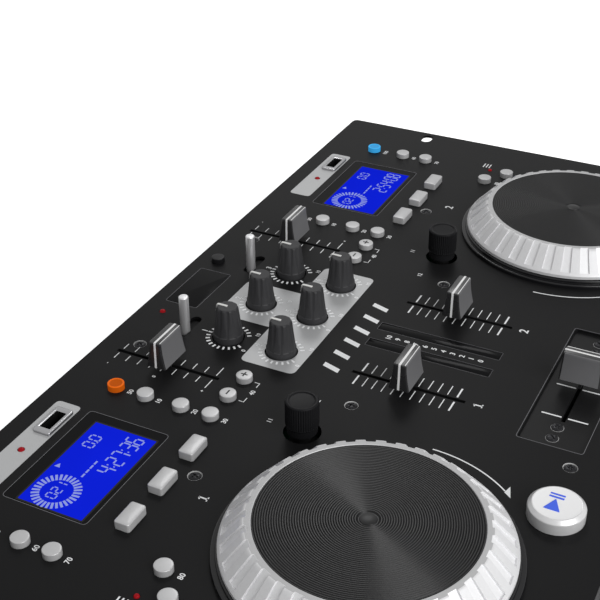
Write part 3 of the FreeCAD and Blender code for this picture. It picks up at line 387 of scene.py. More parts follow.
def smoked(name, tint, roughness=0.08):
    """Dark polished window with faint wiping marks."""
    finish = Finish(name)
    wipe = finish.noise(30.0, 4.0, 0.65, (1, 3, 1))
    return finish.done({"Base Color": finish.mix(wipe, scaled(tint, 0.9), scaled(tint, 1.2)),
                        "Roughness": roughness + wipe * 0.07, "Specular IOR Level": 0.035})


# ---------------------------------------------------------------- surfaces

class Form:
    """Corners and faces of a surface: counts holds the corners of each face, order their numbers,
    and slot the material slot of all faces or of each."""

    def __init__(self, points, counts, order, slot=0):
        self.points = np.asarray(points, float).reshape(-1, 3)
        self.counts = np.asarray(counts, int)
        self.order = np.asarray(order, int)
        self.slot = slot

    def moved(self, x=0.0, y=0.0, z=0.0):
        return Form(self.points + (x, y, z), self.counts, self.order, self.slot)

    def turned(self, degrees):
        """Turned about the upright axis through the origin."""
        c, s = math.cos(math.radians(degrees)), math.sin(math.radians(degrees))
        return Form(self.points @ np.array([[c, s, 0], [-s, c, 0], [0, 0, 1]]), self.counts,
                    self.order, self.slot)

    def tipped(self, right, up, out):
        """Carried into a frame whose three directions are right, up and out."""
        return Form(self.points @ np.array([right, up, out], float), self.counts, self.order,
                    self.slot)


def skin(points, slot=0, start="cap", end="cap"):
    """Closed skin over points[i, j]: j runs round, and i from one end to the other. An end is
    closed by one face ("cap"), by a fan to a single point ("pole"), or runs on into the other end
    ("loop"). slot is the material slot of the whole skin, of each band between two rows, or of each
    face of the bands."""
    rows, columns = points.shape[:2]
    index = np.arange(rows * columns).reshape(rows, columns)
    if start == "loop":
        index = np.vstack([index, index[:1]])
    right = np.roll(index, -1, axis=1)
    low = 1 if start == "pole" else 0
    high = len(index) - (1 if end == "pole" else 0)
    body = np.stack([index[low:high - 1], right[low:high - 1], right[low + 1:high],
                     index[low + 1:high]], -1)
    slot = np.asarray(slot)
    bands = np.broadcast_to(slot[:, None] if slot.ndim == 1 else slot, (len(index) - 1, columns))
    counts = [np.full(body.shape[0] * columns, 4)]
    slots = [bands[low:high - 1].ravel()]
    order = [body.ravel()]
    if start == "pole":
        order.append(np.stack([np.full(columns, index[0, 0]), right[1], index[1]], -1).ravel())
        counts.append(np.full(columns, 3))
        slots.append(bands[0])
    elif start == "cap":
        order.append(index[0, ::-1])
        counts.append([columns])
        slots.append(bands[:1, 0])
    if end == "pole":
        order.append(np.stack([index[-2], right[-2], np.full(columns, index[-1, 0])], -1).ravel())
        counts.append(np.full(columns, 3))
        slots.append(bands[-1])
    elif end == "cap":
        order.append(index[-1])
        counts.append([columns])
        slots.append(bands[-1:, 0])
    order = np.concatenate(order)
    used, order = np.unique(order, return_inverse=True)
    return Form(points.reshape(-1, 3)[used], np.concatenate(counts), order, np.concatenate(slots))


def eased(corners, radius, steps=4, closed=False):
    """Line through the corners with each corner replaced by a short parabola that starts and ends
    radius away from it, or less where a run is short."""
    corners = np.asarray(corners, float)
    radius = np.broadcast_to(np.asarray(radius, float), len(corners))
    before = corners - np.roll(corners, 1, axis=0)
    after = np.roll(corners, -1, axis=0) - corners
    run_in = np.linalg.norm(before, axis=1)
    run_out = np.linalg.norm(after, axis=1)
    cut_in = np.minimum(radius, run_in * 0.49)[:, None] * before / np.maximum(run_in, 1e-9)[:, None]
    cut_out = (np.minimum(radius, run_out * 0.49)[:, None] * after
               / np.maximum(run_out, 1e-9)[:, None])
    t = np.linspace(0, 1, steps)[None, :, None]
    curve = ((1 - t) ** 2 * (corners - cut_in)[:, None] + 2 * t * (1 - t) * corners[:, None]
             + t ** 2 * (corners + cut_out)[:, None])
    if closed:
        return curve.reshape(-1, corners.shape[1])
    return np.vstack([corners[:1], curve[1:-1].reshape(-1, corners.shape[1]), corners[-1:]])


def lathe(profile, segments=64, slot=0, relief=None):
    """Surface of revolution of (radius, height) points. relief(angle, radius, height) is added to
    the radius. A profile that starts or ends on the axis is closed there by a pole."""
    profile = np.asarray(profile, float)
    angle = np.linspace(0, 2 * math.pi, segments, endpoint=False)[None, :]
    radius = profile[:, :1]
    height = profile[:, 1:]
    reach = radius + (relief(angle, radius, height) if relief else 0 * angle)
    points = np.stack([reach * np.cos(angle), reach * np.sin(angle), height + 0 * angle], -1)
    start = "pole" if profile[0, 0] < 1e-6 else "cap"
    end = "pole" if profile[-1, 0] < 1e-6 else "cap"
    return skin(points, slot, start, end)


def ring_lathe(profile, segments=96, slot=0, relief=None):
    """Closed ring: revolution of a closed (radius, height) loop. relief gives (radius, height)
    offsets."""
    profile = np.asarray(profile, float)
    angle = np.linspace(0, 2 * math.pi, segments, endpoint=False)[None, :]
    radius = profile[:, :1] + 0 * angle
    height = profile[:, 1:] + 0 * angle
    if relief:
        out, up = relief(angle, profile[:, :1], profile[:, 1:])
        radius, height = radius + out, height + up
    return skin(np.stack([radius * np.cos(angle), radius * np.sin(angle), height], -1), slot,
                "loop", "loop")


def loft(levels, corner_steps=5, slot=0):
    """Stack of rounded rectangles: each level is (height, half width in X, half width in Y, corner
    radius), and the rectangles' outlines are joined in order."""
    levels = np.asarray(levels, float)[:, None, :]
    turn = np.linspace(0, math.pi / 2, corner_steps)
    quarter = np.repeat([0, 1, 2, 3], corner_steps)
    angle = (np.tile(turn, 4) + quarter * math.pi / 2)[None, :]
    sign_x = np.array([1, -1, -1, 1])[quarter][None, :]
    sign_y = np.array([1, 1, -1, -1])[quarter][None, :]
    height, half_x, half_y, corner = (levels[..., k] for k in range(4))
    x = sign_x * (half_x - corner) + corner * np.cos(angle)
    y = sign_y * (half_y - corner) + corner * np.sin(angle)
    return skin(np.stack([x, y, height + 0 * x], -1), slot)


def rounded_top(height, half_x, half_y, corner, ease, steps=4):
    """Levels of a loft that round its top edge by a quarter circle of radius ease."""
    angle = np.linspace(0, math.pi / 2, steps)
    inset = ease * (1 - np.cos(angle))
    return np.stack([height - ease + ease * np.sin(angle), half_x - inset, half_y - inset,
                     np.maximum(corner - inset, 0.05)], -1)


def sheet_form(outline, low, high):
    """Flat plate between two heights inside a closed (x, y) outline."""
    outline = np.asarray(outline, float)
    flat = np.ones(len(outline))
    points = np.stack([np.column_stack([outline, flat * low]),
                       np.column_stack([outline, flat * high])])
    return skin(points)


def strokes(lines, width, low, high, slot=0):
    """One flat bar for each (x0, y0, x1, y1) row: the four corners lie half a width to each
    side."""
    lines = np.asarray(lines, float).reshape(-1, 4)
    width = np.broadcast_to(np.asarray(width, float), len(lines))[:, None]
    start, end = lines[:, :2], lines[:, 2:]
    along = (end - start) / np.linalg.norm(end - start, axis=1, keepdims=True)
    side = np.column_stack([-along[:, 1], along[:, 0]]) * width / 2
    loop = np.stack([start - side, end - side, end + side, start + side], 1)
    points = np.concatenate([np.dstack([loop, np.full(loop.shape[:2], z)]) for z in (low, high)], 1)
    faces = np.array([[3, 2, 1, 0], [4, 5, 6, 7], [0, 1, 5, 4], [1, 2, 6, 5], [2, 3, 7, 6],
                      [3, 0, 4, 7]])
    order = (np.arange(len(lines)) * 8)[:, None, None] + faces
    return Form(points.reshape(-1, 3), np.full(order.shape[0] * 6, 4), order.ravel(), slot)


def ribbon(path, width, low, high, closed=False):
    """Flat band of a given width along (x, y) points, with a rectangular section."""
    path = np.asarray(path, float)
    ahead = np.roll(path, -1, axis=0) - np.roll(path, 1, axis=0)
    if not closed:
        ahead[0] = path[1] - path[0]
        ahead[-1] = path[-1] - path[-2]
    ahead /= np.linalg.norm(ahead, axis=1, keepdims=True)
    side = np.column_stack([-ahead[:, 1], ahead[:, 0]]) * width / 2
    flat = np.ones(len(path))
    section = [np.column_stack([path - side, flat * low]),
               np.column_stack([path + side, flat * low]),
               np.column_stack([path + side, flat * high]),
               np.column_stack([path - side, flat * high])]
    ends = "loop" if closed else "cap"
    return skin(np.stack(section, 1), 0, ends, ends)


def box_outline(x, y, half_x, half_y, radius, steps=5):
    """Closed outline of a rounded rectangle."""
    corners = [(x - half_x, y - half_y), (x + half_x, y - half_y), (x + half_x, y + half_y),
               (x - half_x, y + half_y)]
    return eased(corners, radius, steps, closed=True)


def curve_form(curve, low, high):
    """A flat curve with thickness between two heights, as a form."""
    curve.extrude = (high - low) / 2
    holder = bpy.data.objects.new("curve", curve)
    bpy.context.scene.collection.objects.link(holder)
    bpy.context.view_layer.update()
    graph = bpy.context.evaluated_depsgraph_get()
    mesh = bpy.data.meshes.new_from_object(holder.evaluated_get(graph))
    points = np.zeros(len(mesh.vertices) * 3)
    counts = np.zeros(len(mesh.polygons), int)
    order = np.zeros(len(mesh.loops), int)
    mesh.vertices.foreach_get("co", points)
    mesh.polygons.foreach_get("loop_total", counts)
    mesh.loops.foreach_get("vertex_index", order)
    bpy.data.objects.remove(holder)
    bpy.data.curves.remove(curve)
    bpy.data.meshes.remove(mesh)
    return Form(points.reshape(-1, 3) + (0, 0, (low + high) / 2), counts, order)


def lettering(text, size, x, y, low, high):
    """Numbers or plain signs as thin solids, centred on x, y, upright for someone at the front."""
    curve = bpy.data.curves.new("lettering", "FONT")
    curve.body = text
    curve.size = size * LETTER_SIZE
    curve.offset = size * LETTER_WEIGHT
    curve.resolution_u = 3
    form = curve_form(curve, low, high)
    centre = (form.points.min(0) + form.points.max(0)) / 2
    return form.moved(x - centre[0], y - centre[1])


def pierced_sheet(outline, holes, low, high):
    """Flat plate inside a closed (x, y) outline, with closed holes."""
    curve = bpy.data.curves.new("sheet", "CURVE")
    curve.dimensions = "2D"
    curve.fill_mode = "BOTH"
    for loop in [outline] + list(holes):
        spline = curve.splines.new("POLY")
        spline.points.add(len(loop) - 1)
        weighted = np.column_stack([loop, 0 * loop[:, :1], 1 + 0 * loop[:, :1]])
        spline.points.foreach_set("co", weighted.ravel())
        spline.use_cyclic_u = True
    return curve_form(curve, low, high)


def ring_outline(x, y, radius, steps=64):
    """Closed outline of a circle."""
    turn = np.linspace(0, 2 * math.pi, steps, endpoint=False)
    return np.column_stack([x + radius * np.cos(turn), y + radius * np.sin(turn)])


def make_piece(name, forms, materials, body, replaced=(), sharp=38.0):
    """Joins forms (in millimetres) into one object that rides on a body, and may stand for CAD
    nodes."""
    offsets = np.cumsum([0] + [len(form.points) for form in forms[:-1]])
    points = np.concatenate([form.points for form in forms]) * MM
    counts = np.concatenate([form.counts for form in forms])
    order = np.concatenate([form.order + offset for form, offset in zip(forms, offsets)])
    slots = np.concatenate([np.full(len(form.counts), form.slot) for form in forms])
    mesh = bpy.data.meshes.new(name)
    mesh.vertices.add(len(points))
    mesh.loops.add(len(order))
    mesh.polygons.add(len(counts))
    mesh.vertices.foreach_set("co", points.ravel())
    mesh.loops.foreach_set("vertex_index", order)
    mesh.polygons.foreach_set("loop_start", np.concatenate([[0], np.cumsum(counts)[:-1]]))
    mesh.polygons.foreach_set("loop_total", counts)
    mesh.polygons.foreach_set("material_index", slots)
    mesh.polygons.foreach_set("use_smooth", np.ones(len(counts), bool))
    mesh.update(calc_edges=True)
    mesh.validate()
    work = bmesh.new()
    work.from_mesh(mesh)
    bmesh.ops.remove_doubles(work, verts=work.verts, dist=1e-8)
    bmesh.ops.recalc_face_normals(work, faces=work.faces)
    work.to_mesh(mesh)
    work.free()
    mesh.set_sharp_from_angle(angle=math.radians(sharp))
    for material in materials:
        mesh.materials.append(material)
    piece = bpy.data.objects.new(name, mesh)
    bpy.context.scene.collection.objects.link(piece)
    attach(piece, body)
    if replaced:
        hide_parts(*replaced)
    return piece


def dress(node, material):
    """Gives a CAD node a better material."""
    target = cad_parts[node]
    target.data.materials.clear()
    target.data.materials.append(material)


class ConsoleOperator(bpy.types.Operator):
    """Shared settings of the console's operators"""
    bl_options = {"REGISTER", "UNDO"}


# ---------------------------------------------------------------- casing

class DJ_OT_casing(ConsoleOperator):
    """Paints the panel, the walls, the base pan, the feet and the trays"""
    bl_idname = "dj_console.casing"
    bl_label = "Casing and trays"

    def execute(self, context):
        settings = context.scene.dj_console.casing
        paint = tuple(settings.paint)
        casing = tuple(settings.casing)
        dress("top_panel", painted("panel paint", paint, settings.gloss, sheen=0.06))
        dress("crossfader_plate", painted("plate paint", paint, 0.3, sheen=0.1, uneven=0.06))
        coat = painted("powder coat", casing, 0.52, grain=900.0, peel=420.0, depth=0.00006,
                       uneven=0.15)
        for node in ("base_pan", "side_walls", "end_walls"):
            dress(node, coat)
        dress("feet", moulded("foot rubber", (0.012, 0.012, 0.012), 0.75, grain=900.0,
                              depth=0.00005))
        tray = moulded("tray plastic", (0.016, 0.016, 0.017), 0.4, grain=1500.0, depth=0.00003)
        for _, side in SIDES:
            dress("tray_" + side, tray)
            dress("disc_spindle_" + side, moulded("spindle rubber " + side, (0.03, 0.03, 0.03),
                                                  0.6))
        dress("disc_drives", moulded("drive plastic", (0.05, 0.05, 0.055), 0.5))
        dress("circuit_boards", painted("board lacquer", (0.01, 0.07, 0.03), 0.35, uneven=0.2))
        dress("power_supply", moulded("winding tape", (0.25, 0.14, 0.04), 0.5))
        dress("control_mechanisms", moulded("mechanism plastic", (0.008, 0.008, 0.008), 0.6,
                                            sheen=0.1))
        return {"FINISHED"}


def screw_form(head_radius, rise, cross=0.8, depth=0.7, segments=48, rings=14):
    """Cross-recessed pan head: height = rise * (1 - 0.7 (r/R)^4), less the recess where the smaller
    of |x| and |y| is inside the cross, whose walls slope and which fades out towards the rim."""
    radius = np.concatenate([[0.0], np.linspace(0.08, 1.0, rings)]) * head_radius
    angle = np.linspace(0, 2 * math.pi, segments, endpoint=False)[None, :]
    r = radius[:, None]
    x, y = r * np.cos(angle), r * np.sin(angle)
    inside = np.clip((cross / 2 + 0.12 - np.minimum(abs(x), abs(y))) / 0.24, 0, 1)
    fade = np.clip((head_radius * 0.72 - r) / (head_radius * 0.25), 0, 1)
    height = rise * (1 - (r / head_radius) ** 4 * 0.7) - depth * inside * fade
    top = np.stack([x, y, height + 0 * angle], -1)
    skirt = np.stack([x[-1:], y[-1:], 0 * x[-1:] - 0.4], -1)
    return skin(np.concatenate([top, skirt]), 0, "pole", "cap")


class DJ_OT_screws(ConsoleOperator):
    """Screws with rounded cross-recessed heads"""
    bl_idname = "dj_console.screws"
    bl_label = "Screws"

    def execute(self, context):
        tint = tuple(context.scene.dj_console.casing.screw)
        steel = silvered("blackened steel", tint, 0.3, 0.8, streak=(1, 8, 1))
        # Pale grey rings round the heads, on the dishes and seats: painted highlight of light
        # caught on the countersink edges.
        edge = painted("dish edge painted highlight", (0.42, 0.42, 0.42), 0.4, uneven=0.2)
        head = screw_form(2.8, 0.9)
        dish = ring_lathe([(2.84, -0.58), (3.29, -0.58), (3.29, -0.015), (3.2, -0.015)], 48, 1)
        seat = ring_lathe([(2.84, -0.1), (3.06, -0.1), (3.06, 0.05), (2.84, 0.05)], 48, 1)
        forms = []
        spins = np.random.default_rng(7).uniform(0, 90, 40)
        for count, (x, d) in enumerate(PANEL_SCREWS):
            for side, _ in SIDES:
                turn = spins[count + 5 * (side > 0)]
                forms.append(head.turned(turn).moved(side * x, row(d), TOP - 0.55))
                forms.append(dish.moved(side * x, row(d), TOP))
        for count, (x, d) in enumerate(PLATE_SCREWS):
            for side, _ in SIDES:
                turn = spins[12 + count + 2 * (side > 0)]
                forms.append(head.turned(turn).moved(side * x, row(d), UNDER + 0.05))
                forms.append(seat.moved(side * x, row(d), UNDER))
        low, high = span("side_walls")
        for side, _ in SIDES:
            for y in (-90.0, 0.0, 90.0):
                out = head.turned(20 + y).tipped((0, side, 0), (0, 0, 1), (side, 0, 0))
                forms.append(out.moved(side * high[0], y, low[2] + 8.0))
        foot_low, foot_high = span("feet")
        for x in (foot_low[0] + 11.0, foot_high[0] - 11.0):
            for y in (foot_low[1] + 11.0, foot_high[1] - 11.0):
                out = head.turned(x + y).tipped((1, 0, 0), (0, -1, 0), (0, 0, -1))
                forms.append(out.moved(x, y, 4.6))
        dress("screws", steel)
        make_piece("screw_heads", forms, [steel, edge], "chassis", ("screws",),
                   sharp=30.0)
        return {"FINISHED"}


# ---------------------------------------------------------------- printing

def knob_marks(low, high, width):
    """Twenty-one marks round each knob, from 150 degrees left to 150 degrees right of straight
    back."""
    turn = np.radians(90 - np.linspace(-150, 150, 21))
    reach = np.column_stack([np.cos(turn) * 9.3, np.sin(turn) * 9.3, np.cos(turn) * 11.5,
                             np.sin(turn) * 11.5])
    places = np.array([(x, row(d), x, row(d)) for x, d in KNOB_PLACES])
    return strokes((places[:, None] + reach[None]).reshape(-1, 4), width, low, high)


def scale_marks(x, first, last, inner, reach, width, low, high):
    """Marks on both sides of a fader slot that runs along Y, each with its own reach and width."""
    inside = np.full(len(reach), inner)
    y = row(np.linspace(first, last, len(reach)))
    right = np.column_stack([x + inside, y, x + np.array(reach), y])
    left = np.column_stack([x - inside, y, x - np.array(reach), y])
    return strokes(np.vstack([right, left]), np.concatenate([width, width]), low, high)


def jog_arrow(side, low, high):
    """Arc beside a jog wheel, 71 mm from its centre and 1.9 mm nearer at its end, and a slim solid
    arrowhead that points towards the front."""
    x, d = JOG
    share = np.linspace(0, 1, 60)
    turn = np.radians(-32.5 * share)
    reach = 71.0 - 1.9 * share ** 2
    path = np.column_stack([side * (x - reach * np.cos(turn)), row(d) + reach * np.sin(turn)])
    head = [(side * at, row(depth)) for at, depth in ((89.6, 219.8), (87.1, 216.3), (82.6, 217.5))]
    return [ribbon(path, 0.65, low, high), sheet_form(head, low, high)]


class DJ_OT_printing(ConsoleOperator):
    """White scales, numbers and lines, the printed grey fields, and grey lines round the windows
    that are painted highlights
    """
    bl_idname = "dj_console.printing"
    bl_label = "Printing"

    def execute(self, context):
        settings = context.scene.dj_console.printing
        thick = settings.thickness / MM
        fine = settings.fine / MM
        bold = settings.bold / MM
        low, high = TOP - 0.01, TOP + thick
        over = high + 0.01
        forms = [knob_marks(low, over + thick, 1.0)]
        for side, _ in SIDES:
            forms.append(scale_marks(side * COLUMN, 127.4, 175.6, 2.0, [9.4] * 11,
                                     [bold] + [fine] * 9 + [bold], low, high))
            forms.append(scale_marks(side * 68.6, 13.5, 66.2, 2.0, [6.6] * 8 + [9.0], [fine] * 9,
                                     low, high))
            forms += jog_arrow(side, low, high)
            for x0, x1, x2 in ((79.4, 79.4, 76.0), (63.5, 63.5, 67.0)):
                corner = [(side * x0, row(85.4)), (side * x1, row(88.0)), (side * x2, row(88.0))]
                forms.append(ribbon(corner, fine, low, high))
        forms += self.numbers(low, high, over, thick)
        stripes = [sheet_form([(x - 1.9, row(117.2)), (x + 1.3, row(117.2)), (x + 4.1, row(108.2)),
                               (x + 0.9, row(108.2))], low, high)
                   for x in np.linspace(-37.5, 22.5, 6)]
        ink = printed("white ink", tuple(settings.ink))
        make_piece("panel_printing", forms + stripes, [ink], "chassis")

        across = strokes([(x, row(a), x, row(b)) for x in (-24.3, 0.4, 24.3)
                          for a, b in ((213.5, 222.9), (225.9, 235.2))], bold, UNDER - 0.01,
                         UNDER + thick)
        make_piece("crossfader_printing", [across], [ink], "chassis")

        # Grey lines round the centre window, the crossfader slot, the displays and the meters, and
        # across the meters' front ends: painted highlights of the window edges.
        lines = [ribbon(box_outline(CENTRE_WINDOW[0], row(CENTRE_WINDOW[1]), 18.6, 9.3, 1.2), 0.22,
                        low, high, closed=True),
                 ribbon(box_outline(0, row(224.05), 48.7, 15.2, 1.4), 0.25, low, high, closed=True)]
        for side, _ in SIDES:
            lines.append(ribbon(box_outline(side * DISPLAY[0], row(DISPLAY[1]), 32.5, 21.2, 2.2),
                                0.25, low, high, closed=True))
            edge = box_outline(side * METER[0], row(METER[1]), 3.4, 32.15, 0.6)
            lines.append(ribbon(edge, 0.15, low, high, closed=True))
            ends = (side * METER[0] - 3.2, row(183.4), side * METER[0] + 3.2, row(183.4))
            lines.append(strokes([ends], 0.3, low, high))
        make_piece("window_edge_highlights", lines, [printed("window edge highlight ink", tuple(settings.window_edge_highlight))],
                   "chassis")

        tee = [(-50.0, row(98.9)), (48.5, row(98.9)), (48.5, row(69.5)), (18.0, row(69.5)),
               (18.0, row(38.0)), (-18.0, row(38.0)), (-18.0, row(69.5)), (-50.0, row(69.5))]
        outline = eased(tee, [3.6, 3.6, 3.6, 0.4, 3.6, 3.6, 0.4, 3.6], 6, closed=True)
        on_tee = [place for place in KNOB_PLACES if place[0] == 0 or place[1] > 69.5]
        fields = [pierced_sheet(outline, [ring_outline(x, row(d), 8.3) for x, d in on_tee], low,
                                high)]
        for x, port, lamp in PORT_FIELDS:
            holes = [box_outline(port, row(PORT_BACK), 9.6, 4.5, 1.2),
                     ring_outline(lamp, row(16.9), 1.75, 24)]
            fields.append(pierced_sheet(box_outline(x, row(16.55), 31.2, 6.65, 2.4), holes, low,
                                        high))
        plate = silvered("grey field", tuple(settings.plate), 0.45, 0.25, uneven=0.06)
        make_piece("grey_fields", fields, [plate], "chassis")
        return {"FINISHED"}

    def numbers(self, low, high, over, thick):
        """Plain numbers on the scales, beside the decks and beside the keys."""
        forms = [lettering(str(10 - k), 2.8, 0.0, row(127.5 + 4.81 * k), low, high)
                 for k in range(11)]
        for count, (x, d) in enumerate(KNOB_PLACES):
            forms.append(lettering(str(count + 1), 3.2, x, row(d - 13.6), low, over + thick))
            forms.append(lettering("0", 2.2, x - 7.6, row(d + 12.6), low, over + thick))
            forms.append(lettering("10", 2.2, x + 8.0, row(d + 12.6), low, over + thick))
        for x, d in ((34.6, 186.4), (145.4, 105.1)):
            forms.append(lettering("2", 4.7, x, row(d), low, high))
            forms.append(strokes(np.array([(0, -2.3, 0, 2.3), (-1.3, -2.0, 1.3, -2.0),
                                           (-1.2, 1.3, 0.2, 2.1)]) + (-x, row(d), -x, row(d)),
                                 [0.8, 0.6, 0.6], low, high))
        for side, _ in SIDES:
            for sign, d in (("-", 13.2), ("0", 39.6), ("+", 66.2)):
                forms.append(lettering(sign, 1.8, side * 80.3, row(d), low, high))
            labels = [("10", 95.8, 52.2), ("20", 95.8, 71.4), ("30", 95.8, 87.2),
                      ("40", 71.4, 88.2), ("50", 95.6, 36.4), ("60", 200.2, 60.4),
                      ("70", 200.2, 76.2), ("80", 188.2, 120.4), ("90", 201.2, 130.4),
                      ("100", 200.5, 40.6)]
            forms += [lettering(text, 2.5, side * x, row(d), low, high) for text, x, d in labels]
            forms.append(lettering("11", 2.4, side * 86.5, row(105.4), low, high))
            forms.append(lettering("12", 2.4, side * 64.0, row(118.6), low, high))
            for d in (105.0, 106.9, 108.8):
                forms.append(strokes([(side * 207.4, row(d), side * 212.6, row(d))], 0.7, low,
                                     high))
        return forms


# ---------------------------------------------------------------- mixer

# Height of a knob's top and of its skirt, and the radii of its skirt, foot and head.
KNOB_TOP = 18.2
KNOB_SKIRT = 3.4
KNOB_RADII = (7.55, 7.2, 5.45)


def knob_profile():
    """Radius against height of a mixer knob: skirt, tapering body and slightly dished top."""
    skirt, foot, head = KNOB_RADII
    return eased([(0, -0.8), (skirt, -0.8), (skirt, KNOB_SKIRT - 0.25), (foot + 0.05, KNOB_SKIRT),
                  (foot - 0.5, 7.0), (head + 0.05, KNOB_TOP - 0.7), (head - 0.6, KNOB_TOP),
                  (3.8, KNOB_TOP), (0, KNOB_TOP - 0.2)],
                 [0, 0.2, 0.2, 0.2, 1.5, 0.35, 0.5, 0.8, 0], 5)


def pointer_form():
    """Raised line from the middle of a knob's top to its back edge and a short way down: the
    section is carried along (distance back, height) points."""
    head = KNOB_RADII[2]
    outer = eased([(0, KNOB_TOP + 0.2), (head, KNOB_TOP + 0.2), (head + 0.45, KNOB_TOP - 0.25),
                   (head + 0.88, KNOB_TOP - 4.0)], [0, 0.5, 0.3, 0], 5)
    ahead = np.gradient(outer, axis=0)
    ahead /= np.linalg.norm(ahead, axis=1, keepdims=True)
    inner = outer - np.column_stack([-ahead[:, 1], ahead[:, 0]]) * 0.9
    section = [np.column_stack([np.full(len(outer), side * 0.65), edge[:, 0], edge[:, 1]])
               for edge, side in ((inner, -1), (inner, 1), (outer, 1), (outer, -1))]
    return skin(np.stack(section, 1), 1)


class DJ_OT_knobs(ConsoleOperator):
    """Six fluted mixer knobs with a raised pointer, and the two push encoders"""
    bl_idname = "dj_console.knobs"
    bl_label = "Knobs and encoders"

    def execute(self, context):
        settings = context.scene.dj_console.knobs
        rubber = moulded("knob rubber", tuple(settings.rubber), 0.55, grain=1700.0, depth=0.00003,
                         sheen=0.3)
        white = printed("pointer white", tuple(settings.pointer), 0.4)
        count = settings.flutes
        bite = settings.flute_radius / MM
        deep = settings.flute_depth / MM

        def flutes(angle, radius, height):
            """Cuts the knob with round flutes that lean in: a flute's axis stands c(height) from
            the knob's, and its wall is met at c cos(a) - sqrt(bite^2 - (c sin(a))^2) from the
            axis."""
            foot = KNOB_RADII[1] + bite - 0.05
            head = KNOB_RADII[2] + bite - deep
            centre = foot + (head - foot) * (height - KNOB_SKIRT) / (KNOB_TOP - KNOB_SKIRT)
            period = 2 * math.pi / count
            off = (angle - 0.25 * period) % period - period / 2
            inside = bite ** 2 - (centre * np.sin(off)) ** 2
            wall = centre * np.cos(off) - np.sqrt(np.maximum(inside, 0))
            cut = (inside > 0) & (height > KNOB_SKIRT - 0.3)
            return np.where(cut, np.minimum(wall - radius, 0), 0 * angle)

        for row_name, columns in (("back", KNOB_PLACES[:3]), ("front", KNOB_PLACES[3:])):
            for name, (x, d) in zip(("left", "centre", "right"), columns):
                node = "knob_%s_%s" % (row_name, name)
                forms = [form.moved(x, row(d), TOP)
                         for form in (lathe(knob_profile(), count * 24, 0, flutes), pointer_form())]
                make_piece(node + "_cap", forms, [rubber, white], node, (node,),
                           sharp=32.0)

        gloss = moulded("encoder gloss", tuple(settings.encoder), 0.26, grain=1500.0,
                        depth=0.000006, sheen=0.04)
        teeth = settings.encoder_ribs

        def ribbed(angle, radius, height):
            """Radius falls by up to 0.34 mm between the ribs round the barrel."""
            window = np.clip((height - 5.3) / 0.3, 0, 1) * np.clip((17.1 - height) / 0.3, 0, 1)
            return -0.17 * (1 - np.cos(angle * teeth)) * window * (radius > 7.45)

        profile = eased([(0, 1.0), (7.1, 1.0), (7.1, 4.6), (7.4, 4.9), (7.7, 5.4), (7.7, 16.9),
                         (7.1, 17.6), (6.2, 17.6), (5.75, 17.2), (0, 17.2)],
                        [0, 0.1, 0.1, 0.1, 0.3, 0.4, 0.3, 0.2, 0.3, 0], 5)
        for side, name in SIDES:
            forms = [lathe(profile, teeth * 8, 0, ribbed).moved(side * ENCODER[0], row(ENCODER[1]),
                                                                TOP)]
            make_piece("encoder_cap_" + name, forms, [gloss], "encoder_knob_" + name,
                       ("encoder_knob_" + name,), sharp=32.0)
            dress("encoder_shaft_" + name, silvered("shaft steel " + name, (0.5, 0.5, 0.52), 0.3,
                                                    1.0))
        return {"FINISHED"}


def fader_forms(stripe):
    """Fader cap across X that travels along Y, on its stem, with the stripe over its middle and a
    thin white line along the front edge of its top that is a painted highlight, and wide sides in
    a lighter copy of the cap plastic that is a painted reflection. The half depth against height
    is a shallow curve from 5.2 at the foot to 3.2 at the top."""
    t = np.linspace(0, 1, 14)
    height = 3.6 + t * 13.4
    depth = 5.2 - 2.0 * (1 - (1 - t) ** 1.6)
    width = 9.85 - 0.4 * t
    foot = [(3.6, 9.5, 4.9, 0.7)]
    levels = np.column_stack([height + 0.25, width, depth, np.full(14, 0.8)])
    top = rounded_top(17.85, 9.42, 3.2, 0.8, 0.55)
    cap = loft(np.vstack([foot, levels[:-1], top]))
    around = 20
    bands = (len(cap.counts) - 2) // around
    # The wide sides take slot 2, the lighter copy of the cap plastic that paints their reflection.
    wide = np.arange(bands - 1)[:, None] * around + (4, 14)
    cap.slot = np.zeros(len(cap.counts), int)
    cap.slot[wide] = 2
    # Thin white bar along the front edge of the top, in the stripe's slot: painted highlight.
    edge = strokes([(-8.9, -2.55, 8.9, -2.55)], 0.4, 17.7, 17.9, 1)
    stem = loft([(-1.0, 0.7, 2.1, 0.1), (4.5, 0.7, 2.1, 0.1)], 2)
    line = np.vstack([np.column_stack([-width - 0.06, height + 0.25]),
                      [(-9.36, 17.9), (9.36, 17.9)],
                      np.column_stack([width + 0.06, height + 0.25])[::-1]])
    inward = np.column_stack([np.sign(line[:, 0]) * -0.5, np.where(line[:, 1] > 17.0, -0.5, 0.0)])
    section = []
    for shift, s in ((0, -1), (0, 1), (1, 1), (1, -1)):
        spot = line + shift * inward
        section.append(np.column_stack([spot[:, 0], np.full(len(line), s * stripe / 2),
                                        spot[:, 1]]))
    return [cap, stem, edge, skin(np.stack(section, 1), 1)]


